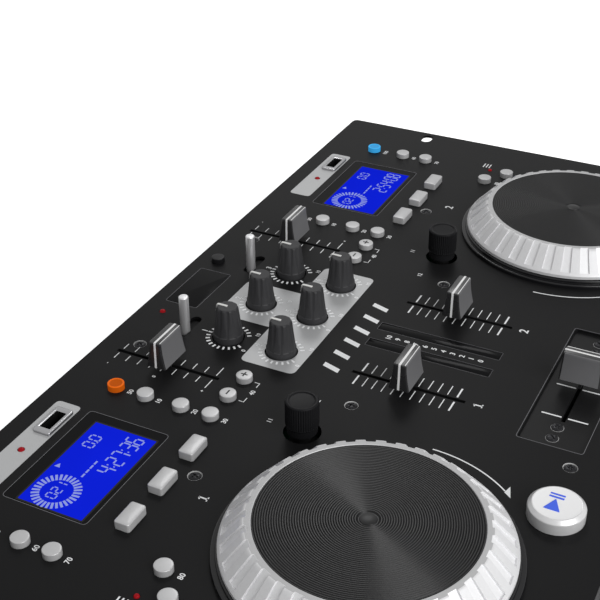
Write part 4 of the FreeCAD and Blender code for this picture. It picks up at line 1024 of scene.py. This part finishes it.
class DJ_OT_faders(ConsoleOperator):
    """Fader caps with their white line, and the chrome levers"""
    bl_idname = "dj_console.faders"
    bl_label = "Faders and levers"

    def execute(self, context):
        settings = context.scene.dj_console.faders
        cap = moulded("cap plastic", tuple(settings.cap), 0.28, grain=2400.0, depth=0.000012)
        # The second cap material is a lighter copy of the cap plastic for the wide sides: painted
        # reflection.
        flank_reflection = moulded("cap flank", tuple(settings.flank_reflection), 0.34, grain=2400.0, depth=0.000012)
        white = printed("cap line", tuple(settings.stripe), 0.35)
        forms = fader_forms(settings.stripe_width / MM)
        for _, name in SIDES:
            for kind in ("pitch", "channel"):
                node = "%s_fader_%s" % (kind, name)
                x, y, _ = middle(node)
                placed = [form.moved(x, y, TOP) for form in forms]
                make_piece(node + "_cap", placed, [cap, white, flank_reflection], node, (node,))
        x, y, _ = middle("crossfader")
        placed = [form.turned(90).moved(x, y, TOP) for form in forms]
        make_piece("crossfader_cap", placed, [cap, white, flank_reflection], "crossfader",
                   ("crossfader",))

        chrome = silvered("lever chrome", tuple(settings.chrome), 0.32, 0.7, streak=(1, 1, 0.1),
                          uneven=0.04)
        strip = painted("slot strip", tuple(context.scene.dj_console.casing.paint), 0.5, sheen=0.06)
        profile = eased([(0, -5.6), (2.5, -5.6), (2.5, 19.5), (2.1, 19.9), (0, 19.9)],
                        [0, 0.2, 0.3, 0.3, 0])
        for _, name in SIDES:
            node = "selector_lever_" + name
            low, high = span(node)
            x, y = low[0] + 14.0, (low[1] + high[1]) / 2
            rod = lathe(profile, 48).moved(x, y, TOP)
            cover = loft([(-1.1, 13.0, 3.5, 1.0), (-0.3, 13.0, 3.5, 1.0)],
                         slot=1).moved(x - 1.0, y, UNDER)
            make_piece(node + "_rod", [rod, cover], [chrome, strip], node, (node,))
        return {"FINISHED"}


# ---------------------------------------------------------------- jog wheels

# Height of a jog wheel's top. The ring's bore, the radius where its slope starts and the height
# there. Its outer radius, the height where the slope ends and the height of its foot.
JOG_TOP = 17.3
LIP = (45.42, 49.2, 16.9)
RIM = (59.0, 6.0, 4.35)


class DJ_OT_jogs(ConsoleOperator):
    """Jog wheels: grooved black disc, ribbed silver ring and stepped base"""
    bl_idname = "dj_console.jogs"
    bl_label = "Jog wheels"

    def execute(self, context):
        settings = context.scene.dj_console.jogs
        silver = silvered("ring silver", tuple(settings.silver), 0.42, 0.15, uneven=0.1)
        # Darker copy of the ring silver for the flat top: painted shade.
        land = silvered("ring land painted shade", tuple(settings.land), 0.5, 0.15, uneven=0.06)
        # Lighter, glossier copy of the ring silver for the bottoms of the channels: painted
        # highlight.
        bright = silvered("channel floor painted highlight", scaled(tuple(settings.silver), 1.12), 0.36, 0.2,
                          uneven=0.1)
        black = moulded("disc black", tuple(settings.disc), 0.31, grain=1200.0, depth=0.000008,
                        sheen=0.2)
        base = moulded("base black", (0.008, 0.008, 0.009), 0.16, grain=900.0, depth=0.00001,
                       sheen=0.3)
        ring = self.ring(settings.ribs, settings.rib_depth / MM)
        disc = self.disc(settings.groove / MM, settings.groove_depth / MM)
        x, d = JOG
        step = eased([(13.0, 0), (62.0, 0), (62.0, 1.8), (61.5, 2.2), (60.0, 2.2), (60.0, 3.5),
                      (59.5, 4.0), (13.0, 4.0)], [0, 0, 0.4, 0.4, 0.1, 0.4, 0.4, 0], 4, closed=True)
        bases = [ring_lathe(step, 192).moved(side * x, row(d), TOP) for side, _ in SIDES]
        make_piece("jog_steps", bases, [base], "chassis", ("jog_bases",))
        for side, name in SIDES:
            body = "jog_wheel_" + name
            make_piece("jog_ring_skin_" + name, [ring.moved(side * x, row(d), TOP)],
                       [silver, land, bright], body, ("jog_ring_" + name,),
                       sharp=28.0)
            make_piece("jog_disc_skin_" + name, [disc.moved(side * x, row(d), TOP)], [black], body,
                       ("jog_disc_" + name,), sharp=20.0)
        return {"FINISHED"}

    def ring(self, ribs, deep):
        """Silver ring: two sections of equal length, one over a rib and one along the floor of a
        channel, which lies deep below the slope and runs out through the top. Each column takes one
        of them, so that a channel's two walls stand between neighbouring columns."""
        bore, lip, corner = LIP
        rim, edge, foot = RIM
        out = np.array([corner - edge, rim - lip]) / math.hypot(corner - edge, rim - lip)
        reach = np.linspace(lip, rim - 1.2, 12)
        slope = np.column_stack([reach, corner - (reach - lip) * out[0] / out[1]])
        floor = slope - out * deep
        inner = [(bore, JOG_TOP - 3.0), (bore, JOG_TOP - 0.25), (bore + 0.25, JOG_TOP)]
        start = floor[0, 0] - (JOG_TOP - floor[0, 1]) * out[1] / out[0]
        outer = [(rim - 0.25, edge + 0.3), (rim, edge - 0.1), (rim, foot), (bore + 4.3, foot),
                 (bore + 4.3, JOG_TOP - 3.0)]
        over = np.vstack([inner, [(lip - 0.9, JOG_TOP), (lip - 0.7, JOG_TOP - 0.02)], slope,
                          slope[-1:] + 0.001, outer])
        under = np.vstack([inner, [(start - 0.1, JOG_TOP), (start, JOG_TOP - 0.02)], floor,
                           slope[-1:], outer])
        half = math.pi / ribs
        wall = 0.02 * half
        part = np.array([wall, half / 2, half - wall, half + wall, half * 1.5, 2 * half - wall])
        angle = (np.arange(ribs)[:, None] * 2 * half + part[None]).ravel()
        channel = np.tile([True, True, True, False, False, False], ribs)
        section = np.where(channel[None, :, None], under[:, None], over[:, None])
        radius, height = section[..., 0], section[..., 1]
        band = np.arange(len(over))[:, None]
        # The bottoms of the channels below the slope get the lighter material: painted highlight.
        floors = channel[None] & (band > len(inner)) & (band < len(inner) + 2 + len(slope))
        # Slot 1, the flat top, is the darker painted shade; slot 2, the floors of the channels, the
        # lighter painted highlight.
        slots = np.where(band == len(inner) - 1, 1, np.where(floors, 2, 0))
        return skin(np.stack([radius * np.cos(angle), radius * np.sin(angle), height], -1), slots,
                    "loop", "loop")

    def disc(self, pitch, deep):
        """Grooved disc: between the rim and the centre cap the height falls by deep to the middle
        of each groove and rises again, with a narrow land on the outer side of each. The cap is a
        low dome: its height falls with the square of the radius."""
        rim, cap_radius = 45.3, 4.2
        grooves = int((rim - cap_radius) / pitch)
        starts = rim - pitch * np.arange(grooves)
        radius = (starts[:, None] - pitch * np.array([0.0, 0.36, 0.68])[None]).ravel()
        height = np.tile([JOG_TOP, JOG_TOP, JOG_TOP - deep], grooves)
        last = starts[-1] - pitch
        dome = (last - 0.85) * np.linspace(1, 0, 8)
        cap = np.vstack([[(last, JOG_TOP), (last - 0.3, JOG_TOP - deep),
                          (last - 0.65, JOG_TOP - deep)],
                         np.column_stack([dome, JOG_TOP + 0.3 * (1 - (dome / dome[0]) ** 2)])])
        lower = [(0.0, JOG_TOP - 3.0), (rim, JOG_TOP - 3.0), (rim, JOG_TOP - 0.02)]
        return lathe(np.vstack([lower, np.column_stack([radius, height]), cap]), 300)


# ---------------------------------------------------------------- keys

def round_key_form(radius, rise):
    """Round key: upright side, eased rim and a slightly domed top."""
    profile = eased([(0, KEY_FOOT), (radius, KEY_FOOT), (radius, rise - 0.1), (radius - 0.7, rise),
                     (0, rise + 0.12)],
                    [0, 0.1, 0.35, 0.5, 0], 5)
    return lathe(profile, 64)


def sign_forms(x, y, z, plus):
    """Thin minus or plus sign on a key's top."""
    lines = [(x - 1.7, y, x + 1.7, y)] + ([(x, y - 1.7, x, y + 1.7)] if plus else [])
    return strokes(lines, 0.75, z, z + 0.1, 1)


class DJ_OT_keys(ConsoleOperator):
    """Silver, orange, blue and black keys, and the large play and cue keys"""
    bl_idname = "dj_console.keys"
    bl_label = "Keys"

    def execute(self, context):
        settings = context.scene.dj_console.keys
        silver = silvered("key silver", tuple(settings.silver), 0.34, 0.25)
        mark = printed("key marks", tuple(settings.mark), 0.5)
        key = round_key_form(KEY_RADIUS, KEY_RISE)
        for side, name in SIDES:
            for comb, places in KEY_GROUPS.items():
                node = comb + "_" + name
                forms = [key.moved(side * x, row(d), TOP) for x, d in places]
                if comb == "bend_keys":
                    for x, d in places:
                        plus = side * x > side * BEND_MIDDLE
                        forms.append(sign_forms(side * x, row(d), TOP + KEY_SIGN, plus))
                make_piece(node + "_caps", forms, [silver, mark], node, (node,))
            node = "loop_keys_" + name
            forms = [self.arched_cap(6.8, 3.7, 4.0).moved(side * x, row(d), TOP)
                     for x, d in LOOP_KEYS]
            make_piece(node + "_caps", forms, [silver], node, (node,))
            orange, blue = tuple(settings.orange), tuple(settings.blue)
            self.lit_key("pitch_key_" + name, "key_orange",
                         lit("orange " + name, orange, 0.36, sheen=0.02), scaled(orange, 1.35))
            self.lit_key("eject_key_" + name, "key_blue", lit("blue " + name, blue, 0.5),
                         scaled(blue, 1.3))
            self.large_keys(settings, name)
        x, y, _ = middle("link_key")
        black = moulded("link key black", (0.009, 0.009, 0.01), 0.35, sheen=0.15)
        make_piece("link_key_cap", [round_key_form(3.6, KEY_RISE).moved(x, y, TOP)], [black],
                   "link_key", ("link_key",))
        return {"FINISHED"}

    def arched_cap(self, half_width, half_depth, rise, arch=0.45):
        """Rectangular key whose top is arched from front to back: the top drops by arch *
        (y/h)^2."""
        top = rounded_top(rise, half_width, half_depth, 1.1, 0.45, 4)
        inner = [(rise, half_width * share, half_depth * share, 0.65 * share)
                 for share in (0.75, 0.5, 0.25)]
        cap = loft(np.vstack([[(KEY_FOOT, half_width, half_depth, 1.1)], top, inner]))
        drop = arch * (cap.points[:, 1] / half_depth) ** 2
        cap.points[:, 2] -= np.where(cap.points[:, 2] > 0, drop, 0)
        return cap

    def lit_key(self, node, slot, glow, rim_tint):
        """Lit round key with a paler raised rim round its face."""
        radius, rise = KEY_RADIUS, KEY_RISE
        x, y, _ = middle(node)
        body = eased([(0, KEY_FOOT), (radius, KEY_FOOT), (radius, rise - 0.25),
                      (radius - 0.3, rise), (radius - 0.75, rise), (radius - 1.0, rise - 0.3),
                      (0, rise - 0.25)], [0, 0.1, 0.2, 0.2, 0.2, 0.2, 0], 4)
        rim = eased([(radius - 0.05, rise - 0.5), (radius + 0.02, rise - 0.2),
                     (radius - 0.3, rise + 0.03), (radius - 0.8, rise + 0.03),
                     (radius - 1.0, rise - 0.28)], 0.15, 4, closed=True)
        forms = [form.moved(x, y, TOP) for form in (lathe(body, 64), ring_lathe(rim, 64, 1))]
        pale = lit(node + " rim", rim_tint, 0.5)
        make_piece(node + "_cap", forms, [glow, pale], node, (node,))

    def large_keys(self, settings, name):
        """Play and cue keys: chamfered rim and a broad dished face, with a blue sign on top."""
        pale = tuple(settings.pale)
        rim = silvered("large key silver " + name, scaled(pale, 0.75), 0.3, 0.25, uneven=0.05)
        face = silvered("large key face " + name, pale, 0.45, 0.05, uneven=0.03)
        symbol = printed("symbol blue " + name, tuple(settings.symbol), 0.4)
        outer = eased([(0, KEY_FOOT), (12.05, KEY_FOOT), (12.05, 5.0), (10.35, 6.55), (10.1, 6.55)],
                      [0, 0.1, 0.5, 0.25, 0], 5)
        share = np.linspace(1, 0, 12)
        dish = np.column_stack([share * 9.95, LARGE_KEY_FACE + 0.4 * share ** 2])
        slots = np.repeat([0, 1], [len(outer), len(dish) - 1])
        for kind in ("play", "cue"):
            node = "%s_key_%s" % (kind, name)
            x, y, _ = middle(node)
            z = TOP + LARGE_KEY_FACE
            if kind == "play":
                x, y = x + 0.4, y + 1.2
                corners = [(x - 5.2, y - 3.5), (x + 2.2, y), (x - 5.2, y + 3.5)]
                bars = [(x + at, y - 3.1, x + at, y + 3.1) for at in (3.2, 5.0)]
                signs = [sheet_form(eased(corners, 0.3, 3, closed=True), z - 0.3, z + 0.25),
                         strokes(bars, 0.9, z - 0.3, z + 0.25)]
            else:
                signs = [ribbon(box_outline(x, y, 3.0, 3.0, 0.4, 3), 0.8, z - 0.2, z + 0.12,
                                closed=True)]
            for form in signs:
                form.slot = 2
            cap = lathe(np.vstack([outer, dish]), 128, slots).moved(*middle(node)[:2], TOP)
            make_piece(node + "_cap", [cap] + signs, [rim, face, symbol], node,
                       (node,))


# ---------------------------------------------------------------- displays and ports

# Bars of each digit, and each bar's two ends as shares of the digit's width and height.
SEGMENTS = {"0": "abcdef", "1": "bc", "2": "abged", "3": "abgcd", "4": "fgbc", "5": "afgcd",
            "6": "afgedc", "7": "abc", "8": "abcdefg", "9": "abcdfg"}
BARS = {"a": (0, 1, 1, 1), "b": (1, 1, 1, 0.5), "c": (1, 0.5, 1, 0), "d": (0, 0, 1, 0),
        "e": (0, 0.5, 0, 0), "f": (0, 1, 0, 0.5), "g": (0, 0.5, 1, 0.5)}


def digit_lines(text, x, y, width, tall, gap):
    """Centre lines of seven-segment digits from the left edge x and the foot y. A bar runs between
    two corners of the digit's box and is cut short by 0.13 of the width at both ends. A colon or
    a point is two or one short bars."""
    lines = []
    for sign in text:
        if sign == ":":
            lines += [(x, y + tall * h, x + 0.6, y + tall * h) for h in (0.3, 0.7)]
            x += gap * 0.9 + 0.6
        elif sign == ".":
            lines.append((x - gap * 0.3, y, x - gap * 0.3 + 0.6, y))
            x += 0.6
        else:
            for bar in SEGMENTS[sign]:
                x0, y0, x1, y1 = BARS[bar]
                start = np.array([x + x0 * width, y + y0 * tall])
                end = np.array([x + x1 * width, y + y1 * tall])
                cut = (end - start) / np.linalg.norm(end - start) * width * 0.13
                lines.append((*(start + cut), *(end - cut)))
            x += width + gap
    return lines


class DJ_OT_displays(ConsoleOperator):
    """Display windows with their lit faces and digits, the meter windows and the centre window"""
    bl_idname = "dj_console.displays"
    bl_label = "Displays"

    def execute(self, context):
        settings = context.scene.dj_console.displays
        glass = smoked("dark window", tuple(settings.glass))
        mask = painted("window mask", (0.022, 0.022, 0.023), 0.4, uneven=0.05, sheen=0.05)
        face = backlit("backlight", tuple(settings.blue))
        digit = lit("display digits", tuple(settings.digit), 1.0, 0.3, 0.04, 0.0)
        windows = [loft([(-0.8, 18.3, 9.05, 0.9), (0.0, 18.3, 9.05, 0.9),
                         (0.02, 18.2, 8.95, 0.9)]).moved(CENTRE_WINDOW[0], row(CENTRE_WINDOW[1]),
                                                         TOP)]
        frames, faces, marks = [], [], []
        for side, _ in SIDES:
            x, y = side * DISPLAY[0], row(DISPLAY[1])
            windows.append(loft([(-0.8, 32.1, 20.8, 0.9),
                                 (-0.02, 32.1, 20.8, 0.9)]).moved(x, y, TOP))
            centre = (x - 2.3, row(51.4))
            frames.append(ribbon(box_outline(*centre, 29.0, 16.5, 0.3), 0.9, TOP - 0.03, TOP + 0.01,
                                 closed=True))
            faces.append(loft([(-0.8, 28.6, 16.1, 0.3),
                               (0.0, 28.6, 16.1, 0.3)]).moved(*centre, TOP))
            marks += self.content(centre[0] - 28.5, centre[1] - 16.0, side)
            windows.append(self.meter(side))
        make_piece("dark_windows", windows, [glass], "chassis", ("window_lenses",))
        make_piece("window_masks", frames, [mask], "chassis")
        make_piece("display_faces", faces, [face], "chassis", ("lcd_panels",))
        make_piece("display_digits", marks, [digit], "chassis")
        return {"FINISHED"}

    def meter(self, side):
        """Dark strip lens: a plate under the panel and a bar that fills the slot up to the panel's
        face."""
        levels = [(-2.8, 4.4, 33.1, 0.3), (-1.62, 4.4, 33.1, 0.3), (-1.62, 3.2, 31.95, 0.15),
                  (-0.2, 3.2, 31.95, 0.15), (-0.1, 3.1, 31.85, 0.15)]
        return loft(levels).moved(side * METER[0], row(METER[1]), TOP)

    def content(self, x, y, side):
        """What the display shows, from its front left corner: a ring of bars, a track number, a
        time, a small number, a row of dashes and a small arrowhead."""
        low, high = TOP + 0.005, TOP + 0.03
        cx, cy = x + 10.4, y + 19.9
        turn = np.radians(np.arange(30) * 12.0)
        ring = np.column_stack([cx + 7.2 * np.cos(turn), cy + 7.2 * np.sin(turn),
                                cx + 10.8 * np.cos(turn), cy + 10.8 * np.sin(turn)])
        forms = [strokes(ring, 1.1, low, high)]
        texts = (("02", 5.9, 17.9, 2.7, 4.8, 1.1, 0.6), ("1", 13.0, 17.9, 2.7, 4.8, 1.1, 0.6),
                 ("0.0", 40.6, 23.1, 3.1, 5.4, 1.4, 0.7),
                 ("4:27:36" if side < 0 else "2:54:08", 29.3, 4.6, 3.3, 8.3, 1.35, 0.8))
        for text, dx, dy, width, tall, gap, bar in texts:
            forms.append(strokes(digit_lines(text, x + dx, y + dy, width, tall, gap), bar, low,
                                 high))
        dashes = [(x + 22.6 + k * 3.1, y + 15.8, x + 25.0 + k * 3.1, y + 15.8) for k in range(4)]
        forms.append(strokes(dashes, 0.9, low, high))
        tip = [(x + 23.6, y + 28.0), (x + 26.2, y + 29.4), (x + 23.6, y + 30.8)]
        forms.append(sheet_form(tip, low, high))
        return forms


class DJ_OT_ports(ConsoleOperator):
    """USB ports with their chrome rims, and the indicator lamps"""
    bl_idname = "dj_console.ports"
    bl_label = "Ports and lamps"

    def execute(self, context):
        chrome = silvered("rim chrome", (0.38, 0.38, 0.39), 0.2, 1.0, uneven=0.04)
        inside = moulded("contact plastic", (0.006, 0.006, 0.006), 0.5, sheen=0.1)
        shell = [(-14.0, 7.3, 3.65, 0.4), (0.0, 7.3, 3.65, 0.4), (0.0, 9.7, 4.6, 1.2),
                 (1.1, 9.7, 4.6, 1.2), (1.4, 9.5, 4.4, 1.1), (1.5, 9.2, 4.1, 1.0),
                 (1.5, 6.8, 3.1, 0.6), (1.3, 6.4, 2.75, 0.4), (0.6, 6.3, 2.65, 0.3),
                 (-13.0, 6.3, 2.65, 0.3)]
        tongue = loft([(-13.0, 5.5, 0.9, 0.2), (-3.7, 5.5, 0.9, 0.2), (-3.5, 5.3, 0.7, 0.2)],
                      slot=1)
        forms = []
        for _, x, _ in PORT_FIELDS:
            body = loft(shell, slot=np.array([0] * 8 + [1]))
            forms += [body.moved(x, row(PORT_BACK), TOP), tongue.moved(x, row(17.05), TOP)]
        make_piece("port_rims", forms, [chrome, inside], "chassis", ("usb_ports",),
                   sharp=40.0)

        red = lit("lamp red", tuple(context.scene.dj_console.displays.lamp), 0.25, 0.15)
        dome = eased([(0, -4.0), (1.5, -4.0), (1.5, 0.2), (1.1, 0.75), (0, 0.9)],
                     [0, 0, 0.4, 0.5, 0], 5)
        forms = [lathe(dome * (size, 1), 40).moved(x, row(d), TOP) for x, d, size in LAMPS]
        make_piece("lamp_domes", forms, [red], "chassis", ("indicator_lamps",))
        return {"FINISHED"}


class DJ_OT_sockets(ConsoleOperator):
    """Rear and front sockets with coloured collars, and the power switch"""
    bl_idname = "dj_console.sockets"
    bl_label = "Sockets and power switch"

    def execute(self, context):
        dress("sockets", moulded("socket plastic", (0.02, 0.02, 0.021), 0.4))
        dress("power_rocker", moulded("rocker plastic", (0.012, 0.012, 0.013), 0.25))
        white = moulded("collar white", (0.6, 0.6, 0.58), 0.35)
        red = moulded("collar red", (0.5, 0.01, 0.012), 0.35)
        tin = silvered("socket tin", (0.6, 0.58, 0.54), 0.22, 1.0, uneven=0.05)
        low, high = span("end_walls")
        wall = high[1]
        collar = eased([(4.25, 0.0), (6.1, 0.0), (6.1, 0.9), (5.7, 1.3), (4.25, 1.3)], 0.25, 3,
                       closed=True)
        sleeve = eased([(1.9, 2.0), (4.17, 2.0), (4.17, 7.9), (3.9, 8.0), (2.2, 8.0), (1.9, 7.6)],
                       0.2, 3, closed=True)
        forms = []
        for slot, height in ((0, 30.5), (1, 52.5)):
            for x in (-105.0, -77.0, -49.0, 49.0, 77.0, 105.0):
                for profile, kind in ((collar, slot), (sleeve, 2)):
                    part = ring_lathe(profile, 40, kind).tipped((-1, 0, 0), (0, 0, 1), (0, 1, 0))
                    forms.append(part.moved(x, wall, height))
        make_piece("rca_collars", forms, [red, white, tin], "chassis")
        nut = eased([(3.3, 0.2), (7.4, 0.2), (7.4, 1.2), (6.9, 1.7), (5.6, 1.9), (3.3, 1.9)], 0.25,
                    3, closed=True)

        def flats(angle, radius, height):
            """Pulls the rim of the nut in to six flats."""
            sector = (angle + math.pi / 6) % (math.pi / 3) - math.pi / 6
            flat = 6.6 / np.cos(sector) - radius
            return np.where(radius > 6.8, np.minimum(flat, 0.0), 0.0), 0.0

        forms = [ring_lathe(nut, 96, 0, flats).tipped((1, 0, 0), (0, 0, 1), (0, -1, 0)).moved(
            x, low[1], 42.0) for x in (-26.0, 26.0)]
        make_piece("jack_nuts", forms, [tin], "chassis")
        return {"FINISHED"}


# ---------------------------------------------------------------- stage

class DJ_OT_stage(ConsoleOperator):
    """Camera, lights, world and the pale floor"""
    bl_idname = "dj_console.stage"
    bl_label = "Stage"

    def execute(self, context):
        settings = context.scene.dj_console.stage
        scene = context.scene
        scene.view_settings.view_transform = "Standard"
        data = bpy.data.cameras.new("camera")
        data.lens = settings.lens
        data.sensor_width = 36.0
        data.clip_start = 0.01
        camera = bpy.data.objects.new("camera", data)
        scene.collection.objects.link(camera)
        place = Matrix(CAMERA_AXES).transposed().to_4x4()
        place.translation = CAMERA_PLACE
        camera.matrix_world = place
        scene.camera = camera
        self.world(scene, settings.surround)
        self.floor(scene, tuple(settings.floor))
        self.lamp(scene, "key", (-0.6, -1.35, 1.0), LIT_POINT, 1.3, 25.0)
        self.lamp(scene, "back", (1.1, 0.5, 1.3), LIT_POINT, 0.4, 3.0)
        return {"FINISHED"}

    def world(self, scene, strength):
        """Even pale light, plain white where the camera sees it and a little less in metal and
        glass."""
        world = bpy.data.worlds.new("studio")
        world.use_nodes = True
        tree = world.node_tree
        tree.nodes.clear()
        path = tree.nodes.new("ShaderNodeLightPath")
        mirrored = tree.nodes.new("ShaderNodeMath")
        mirrored.operation = "MAXIMUM"
        tree.links.new(path.outputs["Is Glossy Ray"], mirrored.inputs[0])
        tree.links.new(path.outputs["Is Transmission Ray"], mirrored.inputs[1])
        level = strength
        for sight, white in ((mirrored.outputs[0], MIRRORED_WHITE),
                             (path.outputs["Is Camera Ray"], 1.0)):
            step = tree.nodes.new("ShaderNodeMapRange")
            tree.links.new(sight, step.inputs["Value"])
            if isinstance(level, float):
                step.inputs["To Min"].default_value = level
            else:
                tree.links.new(level, step.inputs["To Min"])
            step.inputs["To Max"].default_value = white
            level = step.outputs[0]
        light = tree.nodes.new("ShaderNodeBackground")
        light.inputs["Color"].default_value = (1, 1, 1, 1)
        tree.links.new(level, light.inputs["Strength"])
        out = tree.nodes.new("ShaderNodeOutputWorld")
        tree.links.new(light.outputs[0], out.inputs["Surface"])
        scene.world = world

    def floor(self, scene, tint):
        """Wide round floor just under the feet: pale paint that adds a little light of its own
        where the camera sees it, so that it reads white and still holds the console's shadow."""
        angle = np.linspace(0, 2 * math.pi, 96, endpoint=False)
        rim = np.stack([np.cos(angle), np.sin(angle), 0 * angle], -1)
        mesh = bpy.data.meshes.new("floor")
        mesh.vertices.add(len(rim))
        mesh.loops.add(len(rim))
        mesh.polygons.add(1)
        mesh.vertices.foreach_set("co", (rim * FLOOR_RADIUS - (0, 0, FLOOR_DROP)).ravel())
        mesh.loops.foreach_set("vertex_index", np.arange(len(rim)))
        mesh.polygons.foreach_set("loop_start", [0])
        mesh.polygons.foreach_set("loop_total", [len(rim)])
        mesh.update(calc_edges=True)
        finish = Finish("floor paint")
        path = finish.node("ShaderNodeLightPath", output="Is Camera Ray")
        diffuse = finish.node("ShaderNodeBsdfDiffuse", None, {"Color": (*tint, 1.0)})
        own = finish.node("ShaderNodeEmission", None,
                          {"Color": (1, 1, 1, 1), "Strength": path * FLOOR_GLOW})
        finish.node_out(finish.node("ShaderNodeAddShader", None, {0: diffuse, 1: own}))
        mesh.materials.append(finish.material)
        floor = bpy.data.objects.new("floor", mesh)
        scene.collection.objects.link(floor)

    def lamp(self, scene, name, place, target, size, power):
        """Square soft lamp that looks at a point."""
        data = bpy.data.lights.new(name, "AREA")
        data.size = size
        data.energy = power
        lamp = bpy.data.objects.new(name, data)
        scene.collection.objects.link(lamp)
        out = np.array(place) - np.array(target)
        out = out / np.linalg.norm(out)
        across = np.cross((0, 0, 1), out)
        across = across / np.linalg.norm(across)
        up = np.cross(out, across)
        matrix = Matrix((across, up, out)).transposed().to_4x4()
        matrix.translation = place
        lamp.matrix_world = matrix


OPERATORS = (DJ_OT_stage, DJ_OT_casing, DJ_OT_screws, DJ_OT_printing, DJ_OT_knobs, DJ_OT_faders,
             DJ_OT_jogs, DJ_OT_keys, DJ_OT_displays, DJ_OT_ports, DJ_OT_sockets)


class ConsoleSettings(bpy.types.PropertyGroup):
    printing: bpy.props.PointerProperty(type=PrintSettings, name="Printing", description="Printing")
    casing: bpy.props.PointerProperty(type=CasingSettings, name="Casing", description="Casing")
    knobs: bpy.props.PointerProperty(type=KnobSettings, name="Knobs", description="Knobs")
    faders: bpy.props.PointerProperty(type=FaderSettings, name="Faders", description="Faders")
    jogs: bpy.props.PointerProperty(type=JogSettings, name="Jog wheels", description="Jog wheels")
    keys: bpy.props.PointerProperty(type=KeySettings, name="Keys", description="Keys")
    displays: bpy.props.PointerProperty(type=DisplaySettings, name="Displays",
                                        description="Displays")
    stage: bpy.props.PointerProperty(type=StageSettings, name="Stage", description="Stage")


class DJ_PT_console(bpy.types.Panel):
    """The console's settings and the operators that make its pieces"""
    bl_idname = "DJ_PT_console"
    bl_label = "DJ console"
    bl_space_type = "VIEW_3D"
    bl_region_type = "UI"
    bl_category = "DJ console"

    def draw(self, context):
        settings = context.scene.dj_console
        for name, group in GROUPS:
            column = self.layout.box().column()
            column.label(text=name.capitalize())
            for key in group.__annotations__:
                column.prop(getattr(settings, name), key)
        for operator in OPERATORS:
            self.layout.operator(operator.bl_idname)


CLASSES = tuple(group for _, group in GROUPS) + (ConsoleSettings,) + OPERATORS + (DJ_PT_console,)


def register():
    for cls in CLASSES:
        bpy.utils.register_class(cls)
    bpy.types.Scene.dj_console = bpy.props.PointerProperty(type=ConsoleSettings)


def unregister():
    del bpy.types.Scene.dj_console
    for cls in reversed(CLASSES):
        bpy.utils.unregister_class(cls)


def main():
    register()
    for operator in OPERATORS:
        group, name = operator.bl_idname.split(".")
        getattr(getattr(bpy.ops, group), name)()


if __name__ == "__main__":
    main()
